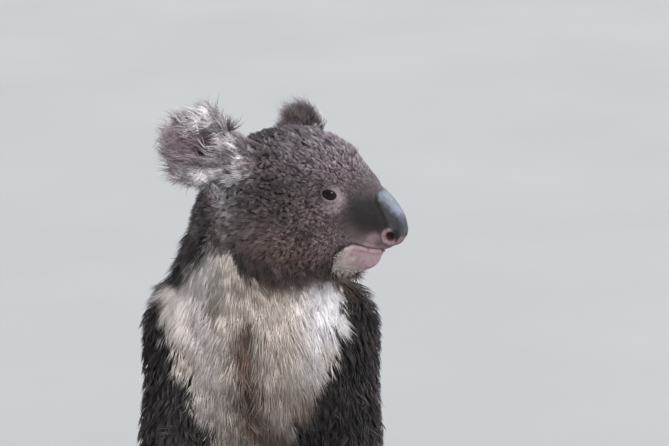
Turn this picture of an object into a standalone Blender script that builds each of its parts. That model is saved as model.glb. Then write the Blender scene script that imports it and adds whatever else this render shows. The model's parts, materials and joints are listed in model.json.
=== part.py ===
"""Koala sitting upright on its rump, its head turned to its left: named solids in metres, +Z up.

The animal faces -Y, and its own left is +X. The body is modelled whole, as ellipsoids and tapered
limbs that run smoothly into each other, and is then parted into head, neck, trunk and limbs by thin
cuts. The solids reach out to the tips of the coat. It rests on flats under the rump, paws and feet.
"""

import math
from dataclasses import dataclass

import bmesh
import bpy
import numpy as np
from mathutils import Matrix, Vector
from mathutils.bvhtree import BVHTree

# Driving dimensions.
HEAD_LENGTH = 0.168  # back of the head to the tip of the nose, in the coat
HEAD_HEIGHT_AT = 0.450  # height of the middle of the head over the floor
HEAD_ASIDE = 0.054  # how far the turned head's middle lies beside the trunk's mid-plane
HEAD_FORWARD = 0.026  # and how far in front of the spine's line
HEAD_YAW = math.radians(62.0)  # turned from straight ahead towards its left
HEAD_PITCH = math.radians(3.0)  # nose lifted
HEAD_ROLL = math.radians(7.0)  # left ear lowered
CUT = 0.0004  # width of the cuts that part the body
CRUMB = 1e-8  # volume of what may drop out where two cuts meet
VOXEL = 0.0030  # grid of the mesh that the body is first joined on
BODY_TRIANGLES = 3750  # the body is thinned to about this many before it is parted
EYE_RADIUS = 0.0088
EYE_GAP = 0.0003  # between an eye and its socket
FLOOR_DEPTH = 0.06  # of the block that cuts the flats on the underside
SIDES = {"L": 1.0, "R": -1.0}

FUR_DARK = (0.075, 0.066, 0.064)
FUR_PALE = (0.62, 0.57, 0.50)
FUR_EAR = (0.21, 0.19, 0.18)
FUR_LIMB = (0.11, 0.098, 0.092)
NOSE_LEATHER = (0.035, 0.036, 0.040)
EYE_BROWN = (0.018, 0.011, 0.009)
CLAW_HORN = (0.05, 0.04, 0.035)


@dataclass
class Ball:
    """An ellipsoid. The matrix holds its centre and the directions of its three radii."""

    matrix: Matrix
    radii: tuple
    blend: float = 0.02

    def distance(self, points):
        """Signed distance of each point, close to exact near the surface."""
        inverse = np.array(self.matrix.inverted())
        local = points @ inverse[:3, :3].T + inverse[:3, 3]
        radii = np.array(self.radii)
        share = np.linalg.norm(local / radii, axis=1)
        slope = np.linalg.norm(local / radii**2, axis=1)
        return share * (share - 1.0) / np.maximum(slope, 1e-9)

    def add_to(self, mesh):
        shape = self.matrix @ Matrix.Diagonal((*self.radii, 1.0))
        bmesh.ops.create_icosphere(mesh, subdivisions=4, radius=1.0, matrix=shape)


@dataclass
class Taper:
    """A round limb between two balls of different radius."""

    start: Vector
    end: Vector
    start_radius: float
    end_radius: float
    blend: float = 0.02

    def distance(self, points):
        start = np.array(self.start)
        along = np.array(self.end) - start
        share = np.clip((points - start) @ along / (along @ along), 0.0, 1.0)
        nearest = start + share[:, None] * along
        radius = self.start_radius + share * (self.end_radius - self.start_radius)
        return np.linalg.norm(points - nearest, axis=1) - radius

    def add_to(self, mesh):
        along = self.end - self.start
        turn = along.to_track_quat("Z", "Y").to_matrix().to_4x4()
        for centre, radius in ((self.start, self.start_radius), (self.end, self.end_radius)):
            place = Matrix.Translation(centre)
            bmesh.ops.create_icosphere(mesh, subdivisions=3, radius=radius, matrix=place)
        bmesh.ops.create_cone(
            mesh,
            cap_ends=True,
            segments=24,
            radius1=self.start_radius,
            radius2=self.end_radius,
            depth=along.length,
            matrix=Matrix.Translation((self.start + self.end) / 2) @ turn,
        )


def turned(yaw=0.0, pitch=0.0, roll=0.0):
    """A turn of the frame whose +X points forward, +Y left and +Z up: the nose lifts with pitch."""
    return (
        Matrix.Rotation(yaw, 4, "Z") @ Matrix.Rotation(-pitch, 4, "Y") @ Matrix.Rotation(roll, 4, "X")
    )


FACING = -math.pi / 2  # the yaw of something that points straight ahead, along -Y
HEAD = Matrix.Translation((HEAD_ASIDE, -HEAD_FORWARD, HEAD_HEIGHT_AT)) @ turned(
    FACING + HEAD_YAW, HEAD_PITCH, -HEAD_ROLL
)


# ---------------------------------------------------------------- the head, in its own frame
# Places in the head are (forward, left, up) from its middle, for a head of HEAD_LENGTH.
EYE_AT = (0.0275, 0.0355, 0.0075)
EAR_AT = (-0.050, 0.058, 0.036)
EAR_MIDDLE = (-0.066, 0.091, 0.047)
EAR_DROPS = {"L": 0.005, "R": 0.0}  # the far ear hangs a little lower
NOSE_AT = (0.0675, 0.0, -0.0140)


def in_head(forward, left, up, pitch=0.0, roll=0.0, yaw=0.0):
    """The frame of a form of the head."""
    return HEAD @ Matrix.Translation((forward, left, up)) @ turned(yaw, pitch, roll)


def head_forms():
    """Cranium, brow, muzzle, nose, jaw and, on both sides, cheek and brow ridge."""
    forms = [
        Ball(in_head(-0.026, 0, 0.005), (0.060, 0.060, 0.054), 0.030),
        Ball(in_head(0.012, 0, 0.009, pitch=-0.60), (0.042, 0.041, 0.032), 0.016),
        Ball(in_head(0.036, 0, -0.018), (0.040, 0.029, 0.030), 0.016),
        Ball(in_head(*NOSE_AT, pitch=0.42), (0.0180, 0.0185, 0.0275), 0.007),
        Ball(in_head(0.0530, 0, -0.0340), (0.0165, 0.0190, 0.0100), 0.007),
        Ball(in_head(0.028, 0, -0.0520, pitch=0.25), (0.0370, 0.0225, 0.0160), 0.010),
        Ball(in_head(0.0500, 0, -0.0500), (0.0130, 0.0160, 0.0105), 0.008),
    ]
    for side in SIDES.values():
        cheek = in_head(-0.014, 0.029 * side, -0.032, yaw=-0.25 * side)
        jowl = in_head(0.022, 0.017 * side, -0.038)
        ridge = in_head(0.022, 0.026 * side, 0.0165, pitch=-0.4, yaw=-0.5 * side)
        forms += [
            Ball(cheek, (0.048, 0.038, 0.041), 0.020),
            Ball(jowl, (0.030, 0.0165, 0.018), 0.010),
            Ball(ridge, (0.018, 0.014, 0.010), 0.012),
        ]
    return forms


def ear_middle(side):
    forward, left, up = EAR_MIDDLE
    drop = EAR_DROPS["L" if side > 0 else "R"]
    return forward, left * side, up - drop


def ear_forms(side):
    """A round ear and its fringe: a thick dish that opens forward and out, on a short root."""
    forward, left, up = ear_middle(side)
    dish = in_head(forward, left, up, yaw=0.45 * side, roll=0.30 * side)
    root_start = HEAD @ Vector((-0.042, 0.040 * side, 0.020))
    root_end = HEAD @ Vector((forward + 0.004, left - 0.020 * side, up - 0.006))
    return [
        Taper(root_start, root_end, 0.026, 0.022, 0.010),
        Ball(dish, (0.017, 0.040, 0.040), 0.010),
    ]


# ---------------------------------------------------------------- trunk and limbs
@dataclass(frozen=True)
class Limb:
    """Joints of one side's limb as (out from the mid-plane, y, z), and its radii there."""

    joints: tuple
    radii: tuple
    blends: tuple

    def points(self, side):
        return [Vector((out * side, y, z)) for out, y, z in self.joints]

    def forms(self, side):
        joints = self.points(side)
        return [
            Taper(joints[i], joints[i + 1], self.radii[i], self.radii[i + 1], blend)
            for i, blend in enumerate(self.blends)
        ]


ARM = Limb(
    joints=((0.066, 0.010, 0.318), (0.083, -0.086, 0.200), (0.062, -0.146, 0.060), (0.059, -0.162, 0.025)),
    radii=(0.040, 0.0300, 0.0230, 0.019),
    blends=(0.020, 0.010, 0.006),
)
LEG = Limb(
    joints=((0.066, 0.054, 0.068), (0.148, -0.050, 0.110), (0.158, -0.118, 0.040), (0.160, -0.136, 0.026)),
    radii=(0.058, 0.042, 0.030, 0.025),
    blends=(0.022, 0.008, 0.008),
)


def trunk_forms():
    """Pelvis, belly, chest, upper back, and the neck that leans towards the head."""
    nape = HEAD @ Vector((-0.050, 0.0, -0.016))
    forms = [
        Ball(Matrix.Translation((0, 0.062, 0.089)), (0.086, 0.094, 0.097), 0.030),
        Ball(Matrix.Translation((0, 0.023, 0.160)), (0.083, 0.086, 0.108), 0.040),
        Ball(Matrix.Translation((0, 0.044, 0.205)), (0.084, 0.094, 0.120), 0.040),
        Ball(Matrix.Translation((0, 0.004, 0.280)), (0.083, 0.082, 0.100), 0.030),
        Ball(Matrix.Translation((0, 0.040, 0.292)), (0.080, 0.068, 0.098), 0.030),
        Taper(Vector((-0.008, 0.020, 0.335)), nape, 0.073, 0.064, 0.030),
    ]
    for side in SIDES.values():
        shoulder = Matrix.Translation((0.062 * side, 0.016, 0.312))
        forms.append(Ball(shoulder, (0.040, 0.046, 0.050), 0.026))
    return forms


# ---------------------------------------------------------------- paws
@dataclass(frozen=True)
class Digit:
    """A finger or toe: its angle from the paw's own direction, towards the inside, and sizes."""

    angle: float
    length: float
    radius: float
    claw: float
    root: tuple  # (forward, inwards) from the paw's middle


@dataclass(frozen=True)
class Paw:
    """A paw flat on the floor, at (out, y), pointing outward by a yaw."""

    name: str
    at: tuple
    outward: float
    palm: tuple
    digits: tuple
    height: float = 0.0145

    def frame(self, side):
        out, y = self.at
        place = Matrix.Translation((out * side, y, self.height))
        return place @ turned(FACING + math.radians(self.outward) * side)

    def digit_line(self, digit, side):
        """Root and tip of a digit."""
        frame = self.frame(side)
        forward, inwards = digit.root
        angle = math.radians(digit.angle) * -side
        root = Vector((forward, -inwards * side, -0.003))
        reach = Vector((math.cos(angle), math.sin(angle), 0.0)) * digit.length
        tip = root + reach
        tip.z = digit.radius * 0.72 - self.height
        return frame @ root, frame @ tip

    def forms(self, side):
        forms = [Ball(self.frame(side), self.palm, 0.010)]
        for digit in self.digits:
            root, tip = self.digit_line(digit, side)
            forms.append(Taper(root, tip, digit.radius * 1.1, digit.radius, 0.003))
        return forms


HAND = Paw(
    name="hand",
    at=(0.058, -0.174),
    outward=4.0,
    palm=(0.027, 0.0205, 0.0160),
    digits=(
        Digit(62.0, 0.026, 0.0072, 0.015, (0.001, 0.011)),
        Digit(30.0, 0.030, 0.0072, 0.016, (0.010, 0.010)),
        Digit(5.0, 0.032, 0.0074, 0.017, (0.016, 0.003)),
        Digit(-13.0, 0.032, 0.0074, 0.017, (0.015, -0.006)),
        Digit(-34.0, 0.028, 0.0070, 0.015, (0.009, -0.012)),
    ),
)
FOOT = Paw(
    name="foot",
    at=(0.164, -0.156),
    outward=20.0,
    palm=(0.036, 0.0225, 0.0170),
    digits=(
        Digit(74.0, 0.030, 0.0088, 0.0, (0.004, 0.010)),
        Digit(20.0, 0.030, 0.0062, 0.013, (0.023, 0.0125)),
        Digit(12.0, 0.031, 0.0062, 0.013, (0.024, 0.0035)),
        Digit(-8.0, 0.035, 0.0080, 0.017, (0.022, -0.004)),
        Digit(-30.0, 0.030, 0.0074, 0.015, (0.014, -0.012)),
    ),
    height=0.0155,
)
PAWS = (HAND, FOOT)
CLAW_SHARE = 0.40  # a claw's radius, as a share of its digit's
CLAW_SUNK = 0.0022  # how far a claw's root lies inside its digit
CLAW_RINGS = 3
CLAW_THINS = 0.76  # each ring of a claw against the one before it
CLAW_TIP = 0.25
CLAW_BEND = 0.30


def claw_frame(paw, digit, side):
    """The frame of a claw: its root's middle, with +X along the digit."""
    root, tip = paw.digit_line(digit, side)
    along = (tip - root).normalized()
    level = Vector((along.x, along.y, 0.0)).normalized()
    start = tip + level * (digit.radius - CLAW_SUNK)
    start.z = digit.radius * 1.05
    return Matrix.Translation(start) @ turned(math.atan2(level.y, level.x), -0.10)


def claw_mesh(length, radius):
    """A curved horn cone along +X that bends down to the floor, drawn out ring by ring."""
    mesh = bmesh.new()
    step = length / CLAW_RINGS
    upright = Matrix.Rotation(math.pi / 2, 4, "Y") @ Matrix.Diagonal((1.25, 1.0, 1.0, 1.0))
    bmesh.ops.create_cone(
        mesh,
        cap_ends=True,
        segments=6,
        radius1=radius,
        radius2=radius * CLAW_THINS,
        depth=step,
        matrix=Matrix.Translation((step / 2, 0, 0)) @ upright,
    )
    bend = Matrix.Rotation(CLAW_BEND, 4, "Y")
    for share in (CLAW_THINS, CLAW_TIP):
        tip = max(mesh.faces, key=lambda face: face.calc_center_median().x)
        tip = bmesh.ops.extrude_discrete_faces(mesh, faces=[tip])["faces"][0]
        centre = tip.calc_center_median()
        drawn = Matrix.Translation(centre) @ bend @ Matrix.Translation((step, 0, 0))
        drawn = drawn @ Matrix.Scale(share, 4) @ Matrix.Translation(-centre)
        bmesh.ops.transform(mesh, matrix=drawn, verts=tip.verts)
    bmesh.ops.recalc_face_normals(mesh, faces=mesh.faces)
    return mesh


# ---------------------------------------------------------------- joining the body
def all_forms():
    """Every form of the body, in the order in which they are blended."""
    forms = trunk_forms() + head_forms()
    for side in SIDES.values():
        forms += ear_forms(side) + ARM.forms(side) + LEG.forms(side)
        for paw in PAWS:
            forms += paw.forms(side)
    return forms


def body_distance(forms, points):
    """Signed distance from the blended body: two forms run together over the later one's blend."""
    total = forms[0].distance(points)
    for form in forms[1:]:
        other = form.distance(points)
        overlap = np.maximum(form.blend - np.abs(total - other), 0.0)
        total = np.minimum(total, other) - overlap**2 / (4.0 * form.blend)
    return total


def settle(mesh, forms, rounds=5, probe=2e-4):
    """Moves each vertex along the slope of the body's distance until it lies on the surface."""
    points = np.empty(len(mesh.vertices) * 3, np.float32)
    mesh.vertices.foreach_get("co", points)
    points = points.reshape(-1, 3).astype(float)
    for _ in range(rounds):
        here = body_distance(forms, points)
        slope = np.empty_like(points)
        for axis in range(3):
            shifted = points.copy()
            shifted[:, axis] += probe
            slope[:, axis] = (body_distance(forms, shifted) - here) / probe
        steepness = np.maximum((slope**2).sum(axis=1), 0.25)
        points -= slope * (here / steepness)[:, None]
    mesh.vertices.foreach_set("co", points.astype(np.float32).ravel())
    mesh.update()


def new_object(name, mesh):
    made = bpy.data.objects.new(name, mesh)
    bpy.context.scene.collection.objects.link(made)
    return made


def mesh_from(bm, name):
    mesh = bpy.data.meshes.new(name)
    bm.to_mesh(mesh)
    bm.free()
    return mesh


def applied(made):
    """The object's mesh with its modifiers applied; the object is then removed."""
    bpy.context.view_layer.update()
    graph = bpy.context.evaluated_depsgraph_get()
    mesh = bpy.data.meshes.new_from_object(made.evaluated_get(graph), depsgraph=graph)
    bpy.data.objects.remove(made)
    return mesh


def whole_body(forms):
    """The body as one closed mesh, thinned where it is smooth."""
    raw = bmesh.new()
    for form in forms:
        form.add_to(raw)
    rough = new_object("rough", mesh_from(raw, "rough"))
    remesh = rough.modifiers.new("join", "REMESH")
    remesh.mode = "VOXEL"
    remesh.voxel_size = VOXEL
    fine = new_object("body", applied(rough))
    settle(fine.data, forms)
    thin = fine.modifiers.new("thin", "DECIMATE")
    thin.ratio = BODY_TRIANGLES / (2.0 * len(fine.data.polygons))
    return applied(fine)


# ---------------------------------------------------------------- parting it
def disc(mesh, centre, normal, radius):
    """A thin round cut."""
    turn = Vector(normal).to_track_quat("Z", "Y").to_matrix().to_4x4()
    bmesh.ops.create_cone(
        mesh,
        cap_ends=True,
        segments=28,
        radius1=radius,
        radius2=radius,
        depth=CUT,
        matrix=Matrix.Translation(centre) @ turn,
    )


def sheet(mesh, rows, side):
    """A thin bent cut through rows of places, which are given as (z, (out, y), (out, y), ...)."""
    grid = [[mesh.verts.new((out * side, y, z)) for out, y in row] for z, *row in rows]
    faces = []
    for above, below in zip(grid, grid[1:]):
        for i in range(len(above) - 1):
            faces.append(mesh.faces.new((above[i], above[i + 1], below[i + 1], below[i])))
    faces = bmesh.ops.triangulate(mesh, faces=faces)["faces"]
    bmesh.ops.recalc_face_normals(mesh, faces=faces)
    bmesh.ops.solidify(mesh, geom=faces, thickness=CUT)


# Between arm and trunk, from above the shoulder to the free air behind the elbow.
FLANK = (
    (0.379, (0.116, 0.100), (0.094, 0.010), (0.078, -0.100)),
    (0.362, (0.106, 0.100), (0.079, 0.010), (0.062, -0.100)),
    (0.320, (0.104, 0.085), (0.060, 0.002), (0.044, -0.100)),
    (0.260, (0.0962, 0.0216), (0.0572, -0.0304), (0.0152, -0.0864)),
    (0.230, (0.1002, 0.0186), (0.0612, -0.0334), (0.0192, -0.0894)),
    (0.206, (0.1074, 0.0132), (0.0684, -0.0388), (0.0264, -0.0948)),
    (0.184, (0.1090, 0.0120), (0.0700, -0.0400), (0.0280, -0.0960)),
)
# Between thigh and trunk, from over the thigh down through the floor.
HIP = (
    (0.182, (0.122, 0.150), (0.105, 0.030), (0.088, -0.058)),
    (0.145, (0.104, 0.150), (0.089, 0.030), (0.071, -0.058)),
    (0.100, (0.096, 0.150), (0.079, 0.030), (0.063, -0.058)),
    (-0.010, (0.092, 0.150), (0.072, 0.030), (0.058, -0.058)),
)


def joint_cuts(limb, side, reaches):
    """Cuts across a limb at its two middle joints."""
    mesh = bmesh.new()
    root, bend, end, _ = limb.points(side)
    across = (bend - root).normalized() + (end - bend).normalized()
    disc(mesh, bend, across, reaches[0])
    disc(mesh, end, end - bend, reaches[1])
    return mesh_from(mesh, "joints")


def parting_mesh():
    """What is cut out of the body before its limbs are cut at their joints."""
    mesh = bmesh.new()
    for side in SIDES.values():
        sheet(mesh, FLANK, side)
        sheet(mesh, HIP, side)
        forward, left, up = EAR_AT
        out = HEAD.to_3x3() @ Vector((-0.25, 0.90 * side, 0.35))
        disc(mesh, HEAD @ Vector((forward, left * side, up)), out, 0.036)
        socket = Matrix.Translation(eye_centre(side))
        bmesh.ops.create_icosphere(mesh, subdivisions=3, radius=EYE_RADIUS + EYE_GAP, matrix=socket)
        for paw in PAWS:
            for digit in paw.digits:
                if digit.claw:
                    pocket(mesh, claw_frame(paw, digit, side), digit.radius * CLAW_SHARE)
    disc(mesh, HEAD @ Vector((-0.045, 0.0, -0.044)), (0.26, 0.02, 1.0), 0.110)
    disc(mesh, (0.0, 0.016, 0.374), (0.10, -0.10, 1.0), 0.095)
    floor = Matrix.Translation((0, 0, -FLOOR_DEPTH / 2)) @ Matrix.Diagonal((1, 1, FLOOR_DEPTH, 1))
    bmesh.ops.create_cube(mesh, size=1.0, matrix=floor)
    bmesh.ops.recalc_face_normals(mesh, faces=mesh.faces)
    return mesh_from(mesh, "parting")


def pocket(mesh, frame, radius):
    """The hole in a digit that a claw's root stands in, a little wider and deeper than the root."""
    depth = CLAW_SUNK * 2.0
    upright = Matrix.Rotation(math.pi / 2, 4, "Y") @ Matrix.Diagonal((1.25, 1.0, 1.0, 1.0))
    middle = Matrix.Translation((depth / 2 - CUT, 0, 0))
    bmesh.ops.create_cone(
        mesh,
        cap_ends=True,
        segments=6,
        radius1=radius + CUT,
        radius2=radius + CUT,
        depth=depth,
        matrix=frame @ middle @ upright,
    )


def eye_centre(side):
    forward, left, up = EYE_AT
    return HEAD @ Vector((forward, left * side, up))


def material(name, colour, roughness):
    made = bpy.data.materials.new(name)
    made.use_nodes = True
    shader = made.node_tree.nodes["Principled BSDF"]
    shader.inputs["Base Color"].default_value = (*colour, 1.0)
    shader.inputs["Roughness"].default_value = roughness
    made.diffuse_color = (*colour, 1.0)
    return made


def body_anchors():
    """A point inside each part of the body, by the part's name."""
    anchors = {
        "head": HEAD @ Vector((0.0, 0.0, -0.002)),
        "neck": Vector((0.004, 0.012, 0.398)),
        "trunk": Vector((0, 0.02, 0.20)),
    }
    for name, side in SIDES.items():
        arm, leg = ARM.points(side), LEG.points(side)
        anchors |= {
            "ear_" + name: HEAD @ Vector(ear_middle(side)),
            "upper_arm_" + name: arm[0].lerp(arm[1], 0.6),
            "forearm_" + name: arm[1].lerp(arm[2], 0.5),
            "hand_" + name: HAND.frame(side).translation,
            "thigh_" + name: leg[0].lerp(leg[1], 0.75),
            "shin_" + name: leg[1].lerp(leg[2], 0.5),
            "foot_" + name: FOOT.frame(side).translation,
        }
    return anchors


def loose_parts(mesh):
    """The closed shells of a mesh, each as a bmesh of its own."""
    whole = bmesh.new()
    whole.from_mesh(mesh)
    whole.faces.ensure_lookup_table()
    seen = set()
    for face in whole.faces:
        if face.index in seen:
            continue
        shell, front = set(), [face]
        while front:
            at = front.pop()
            if at.index in shell:
                continue
            shell.add(at.index)
            front += [other for edge in at.edges for other in edge.link_faces]
        seen |= shell
        part = whole.copy()
        part.faces.ensure_lookup_table()
        spare = [f for f in part.faces if f.index not in shell]
        bmesh.ops.delete(part, geom=spare, context="FACES")
        yield part
    whole.free()


def holds(part, point):
    """Whether a closed bmesh holds the point: a line out of it crosses the surface an odd number of times."""
    tree = BVHTree.FromBMesh(part)
    along = Vector((0.213, 0.871, 0.442)).normalized()
    crossed, start = 0, Vector(point)
    while True:
        at, _, _, _ = tree.ray_cast(start, along)
        if at is None:
            return crossed % 2 == 1
        crossed += 1
        start = at + along * 1e-5


def parted(mesh, cutter):
    """The closed shells that are left of a mesh once the cutter is taken out of it."""
    whole, knife = new_object("whole", mesh), new_object("knife", cutter)
    cut = whole.modifiers.new("part", "BOOLEAN")
    cut.operation = "DIFFERENCE"
    cut.use_self = True
    cut.object = knife
    left = applied(whole)
    bpy.data.objects.remove(knife)
    return list(loose_parts(left))


def part_body(finishes):
    """Cuts the whole body and leaves one named object for each part."""
    anchors = body_anchors()
    limbs = [
        (name, side, limb, nodes, reaches)
        for name, side in SIDES.items()
        for limb, nodes, reaches in (
            (ARM, ("upper_arm_", "forearm_", "hand_"), (0.050, 0.040)),
            (LEG, ("thigh_", "shin_", "foot_"), (0.064, 0.044)),
        )
    ]
    shells = parted(whole_body(all_forms()), parting_mesh())
    for name, side, limb, nodes, reaches in limbs:
        inside = anchors[nodes[0] + name]
        limb_shell = next(shell for shell in shells if holds(shell, inside))
        shells.remove(limb_shell)
        shells += parted(mesh_from(limb_shell, "limb"), joint_cuts(limb, side, reaches))
    for shell in shells:
        name = next((n for n, point in anchors.items() if holds(shell, point)), None)
        if name is None:
            if shell.calc_volume() > CRUMB:
                middle = sum((vert.co for vert in shell.verts), Vector()) / len(shell.verts)
                raise ValueError(f"a cut left a piece over at {middle[:]}")
            continue
        del anchors[name]
        bmesh.ops.triangulate(shell, faces=shell.faces)
        made = new_object(name, mesh_from(shell, name))
        made.data.materials.append(finishes[name.removesuffix("_L").removesuffix("_R")])
        made.data.shade_smooth()
        made.data.set_sharp_from_angle(angle=math.radians(50))
    if anchors:
        raise ValueError("parts missing: " + ", ".join(anchors))


def add_eyes(finish):
    for name, side in SIDES.items():
        ball = bmesh.new()
        place = Matrix.Translation(eye_centre(side))
        bmesh.ops.create_icosphere(ball, subdivisions=3, radius=EYE_RADIUS, matrix=place)
        made = new_object("eye_" + name, mesh_from(ball, "eye_" + name))
        made.data.shade_smooth()
        made.data.materials.append(finish)


def add_claws(finish):
    for name, side in SIDES.items():
        for paw in PAWS:
            for number, digit in enumerate(paw.digits, 1):
                if not digit.claw:
                    continue
                horn = claw_mesh(digit.claw, digit.radius * CLAW_SHARE)
                bmesh.ops.transform(horn, matrix=claw_frame(paw, digit, side), verts=horn.verts)
                made = new_object(f"claw_{paw.name}_{name}_{number}", mesh_from(horn, "claw"))
                made.data.materials.append(finish)


def centre_on_floor():
    """Puts the origin under the middle of everything, on the floor."""
    places = [vert.co for made in bpy.data.objects for vert in made.data.vertices]
    low = [min(place[axis] for place in places) for axis in range(3)]
    high = [max(place[axis] for place in places) for axis in range(3)]
    shift = Vector((-(low[0] + high[0]) / 2, -(low[1] + high[1]) / 2, -low[2]))
    for made in bpy.data.objects:
        made.data.transform(Matrix.Translation(shift))


def main():
    for old in list(bpy.data.objects):
        bpy.data.objects.remove(old)
    dark = material("fur_dark", FUR_DARK, 0.9)
    pale = material("fur_pale", FUR_PALE, 0.9)
    limb = material("fur_limb", FUR_LIMB, 0.9)
    finishes = {
        "head": dark,
        "neck": dark,
        "trunk": pale,
        "ear": material("fur_ear", FUR_EAR, 0.9),
    }
    finishes |= {name: limb for name in ("upper_arm", "forearm", "hand", "thigh", "shin", "foot")}
    part_body(finishes)
    add_eyes(material("eye", EYE_BROWN, 0.08))
    add_claws(material("claw", CLAW_HORN, 0.4))
    centre_on_floor()


main()
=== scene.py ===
"""A sitting koala: one skin with its coat, eyes and claws, on a pale floor in soft light."""

from __future__ import annotations

import json
import logging
import math
from collections.abc import Callable, Iterable
from dataclasses import dataclass, field
from enum import Enum

import bmesh
import bpy
import numpy as np
from bmesh.types import BMesh
from bpy.types import ID, Material, Mesh, Node, NodeSocket, Object
from mathutils import Matrix, Vector
from mathutils.kdtree import KDTree

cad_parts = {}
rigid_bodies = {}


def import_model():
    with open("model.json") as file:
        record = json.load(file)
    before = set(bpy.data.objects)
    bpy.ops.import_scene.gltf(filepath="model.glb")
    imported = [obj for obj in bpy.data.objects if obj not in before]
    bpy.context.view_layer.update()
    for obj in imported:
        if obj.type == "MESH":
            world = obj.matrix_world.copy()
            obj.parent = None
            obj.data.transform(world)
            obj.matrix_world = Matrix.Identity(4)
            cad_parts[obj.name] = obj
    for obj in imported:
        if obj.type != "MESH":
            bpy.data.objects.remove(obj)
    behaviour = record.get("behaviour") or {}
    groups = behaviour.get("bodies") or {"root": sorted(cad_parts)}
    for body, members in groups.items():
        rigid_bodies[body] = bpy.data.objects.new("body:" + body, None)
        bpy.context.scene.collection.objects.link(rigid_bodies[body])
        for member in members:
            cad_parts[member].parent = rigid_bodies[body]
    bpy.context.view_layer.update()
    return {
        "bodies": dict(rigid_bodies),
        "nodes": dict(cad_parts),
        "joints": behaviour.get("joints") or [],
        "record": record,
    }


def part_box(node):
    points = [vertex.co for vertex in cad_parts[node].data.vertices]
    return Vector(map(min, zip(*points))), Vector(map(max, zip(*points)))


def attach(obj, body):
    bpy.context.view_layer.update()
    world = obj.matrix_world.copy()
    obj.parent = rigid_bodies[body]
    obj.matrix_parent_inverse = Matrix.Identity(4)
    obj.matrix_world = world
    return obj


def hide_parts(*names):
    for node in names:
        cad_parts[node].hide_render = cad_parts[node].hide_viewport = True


LOG = logging.getLogger("koala")
SIDES: dict[str, float] = {"L": 1.0, "R": -1.0}
SEED = 20611
IMAGE_WIDE, IMAGE_HIGH = 669, 446
Array = np.ndarray
Numbers = float | Array
Nodes = dict[str, Object]
Fed = NodeSocket | float | tuple


class Region(Enum):
    """The parts of the body that wear different coats."""

    HEAD = 0
    NECK = 1
    TRUNK = 2
    EAR = 3
    ARM = 4
    LEG = 5
    PAW = 6


PAIRED: dict[str, Region] = {
    "ear": Region.EAR,
    "upper_arm": Region.ARM,
    "forearm": Region.ARM,
    "thigh": Region.LEG,
    "shin": Region.LEG,
    "hand": Region.PAW,
    "foot": Region.PAW,
}
FLESH: dict[str, Region] = {"head": Region.HEAD, "neck": Region.NECK, "trunk": Region.TRUNK}
FLESH |= {f"{name}_{side}": region for side in SIDES for name, region in PAIRED.items()}


@dataclass(frozen=True)
class Lie:
    """How the coat lies on a region: sizes in metres, lift in radians, tufts per square metre."""

    depth: float
    length: float
    lift: float
    width: float
    density: float
    wool: float


LIES: dict[Region, Lie] = {
    Region.HEAD: Lie(0.0055, 0.0092, 0.88, 0.00070, 8.0e5, 0.90),
    Region.NECK: Lie(0.0080, 0.0170, 0.60, 0.00100, 4.0e5, 0.45),
    Region.TRUNK: Lie(0.0100, 0.0240, 0.50, 0.00120, 2.3e5, 0.35),
    Region.EAR: Lie(0.0030, 0.0150, 0.55, 0.00058, 7.0e5, 0.30),
    Region.ARM: Lie(0.0065, 0.0150, 0.55, 0.00110, 2.4e5, 0.40),
    Region.LEG: Lie(0.0080, 0.0180, 0.55, 0.00120, 2.2e5, 0.40),
    Region.PAW: Lie(0.0022, 0.0078, 0.40, 0.00105, 4.5e5, 0.30),
}


# ---- arithmetic on points
def smoothstep(low: Numbers, high: Numbers, values: Array) -> Array:
    """Rises smoothly from 0 at low to 1 at high, or falls where high is the lower one."""
    t = np.clip((values - low) / (high - low), 0.0, 1.0)
    return t * t * (3.0 - 2.0 * t)


def bump(values: Array, middle: Numbers, width: Numbers) -> Array:
    """A bell of height 1 about a middle value."""
    return np.exp(-(((values - middle) / width) ** 2))


def blob(points: Array, middle: tuple, radii: tuple) -> Array:
    """A soft ellipsoid, 1 at its middle and about a third at its radii."""
    return np.exp(-(((points - np.array(middle)) / np.array(radii)) ** 2).sum(1))


def unit(vectors: Array) -> Array:
    """The vectors at length 1."""
    return vectors / np.maximum(np.linalg.norm(vectors, axis=1, keepdims=True), 1e-12)


def across(vectors: Array, normals: Array) -> Array:
    """The share of the vectors that lies in the surface."""
    return vectors - (vectors * normals).sum(1, keepdims=True) * normals


def folded(head: Array) -> Array:
    """Points of the head's frame with its right half folded onto the left."""
    return np.stack((head[:, 0], np.abs(head[:, 1]), head[:, 2]), 1)


def waves(points: Array, size: float, seed: int, count: int = 9) -> Array:
    """A smooth field between about -1 and 1 that varies over a size.

    Args:
        points: Places, one a row.
        size: The length of its waves.
        seed: Chooses the waves.
        count: How many waves are added.

    Returns:
        One value for each point.
    """
    rng = np.random.default_rng(seed)
    total = np.zeros(len(points))
    for _ in range(count):
        way = unit(rng.normal(size=(1, 3)))[0] * (2 * math.pi / (size * rng.uniform(0.7, 1.6)))
        total += np.sin(points @ way + rng.uniform(0, 2 * math.pi))
    return total / math.sqrt(count / 2.0) / 1.6


# ---- meshes
FAIRING = (0.55, -0.57)
MERGE = 1e-5


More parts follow.
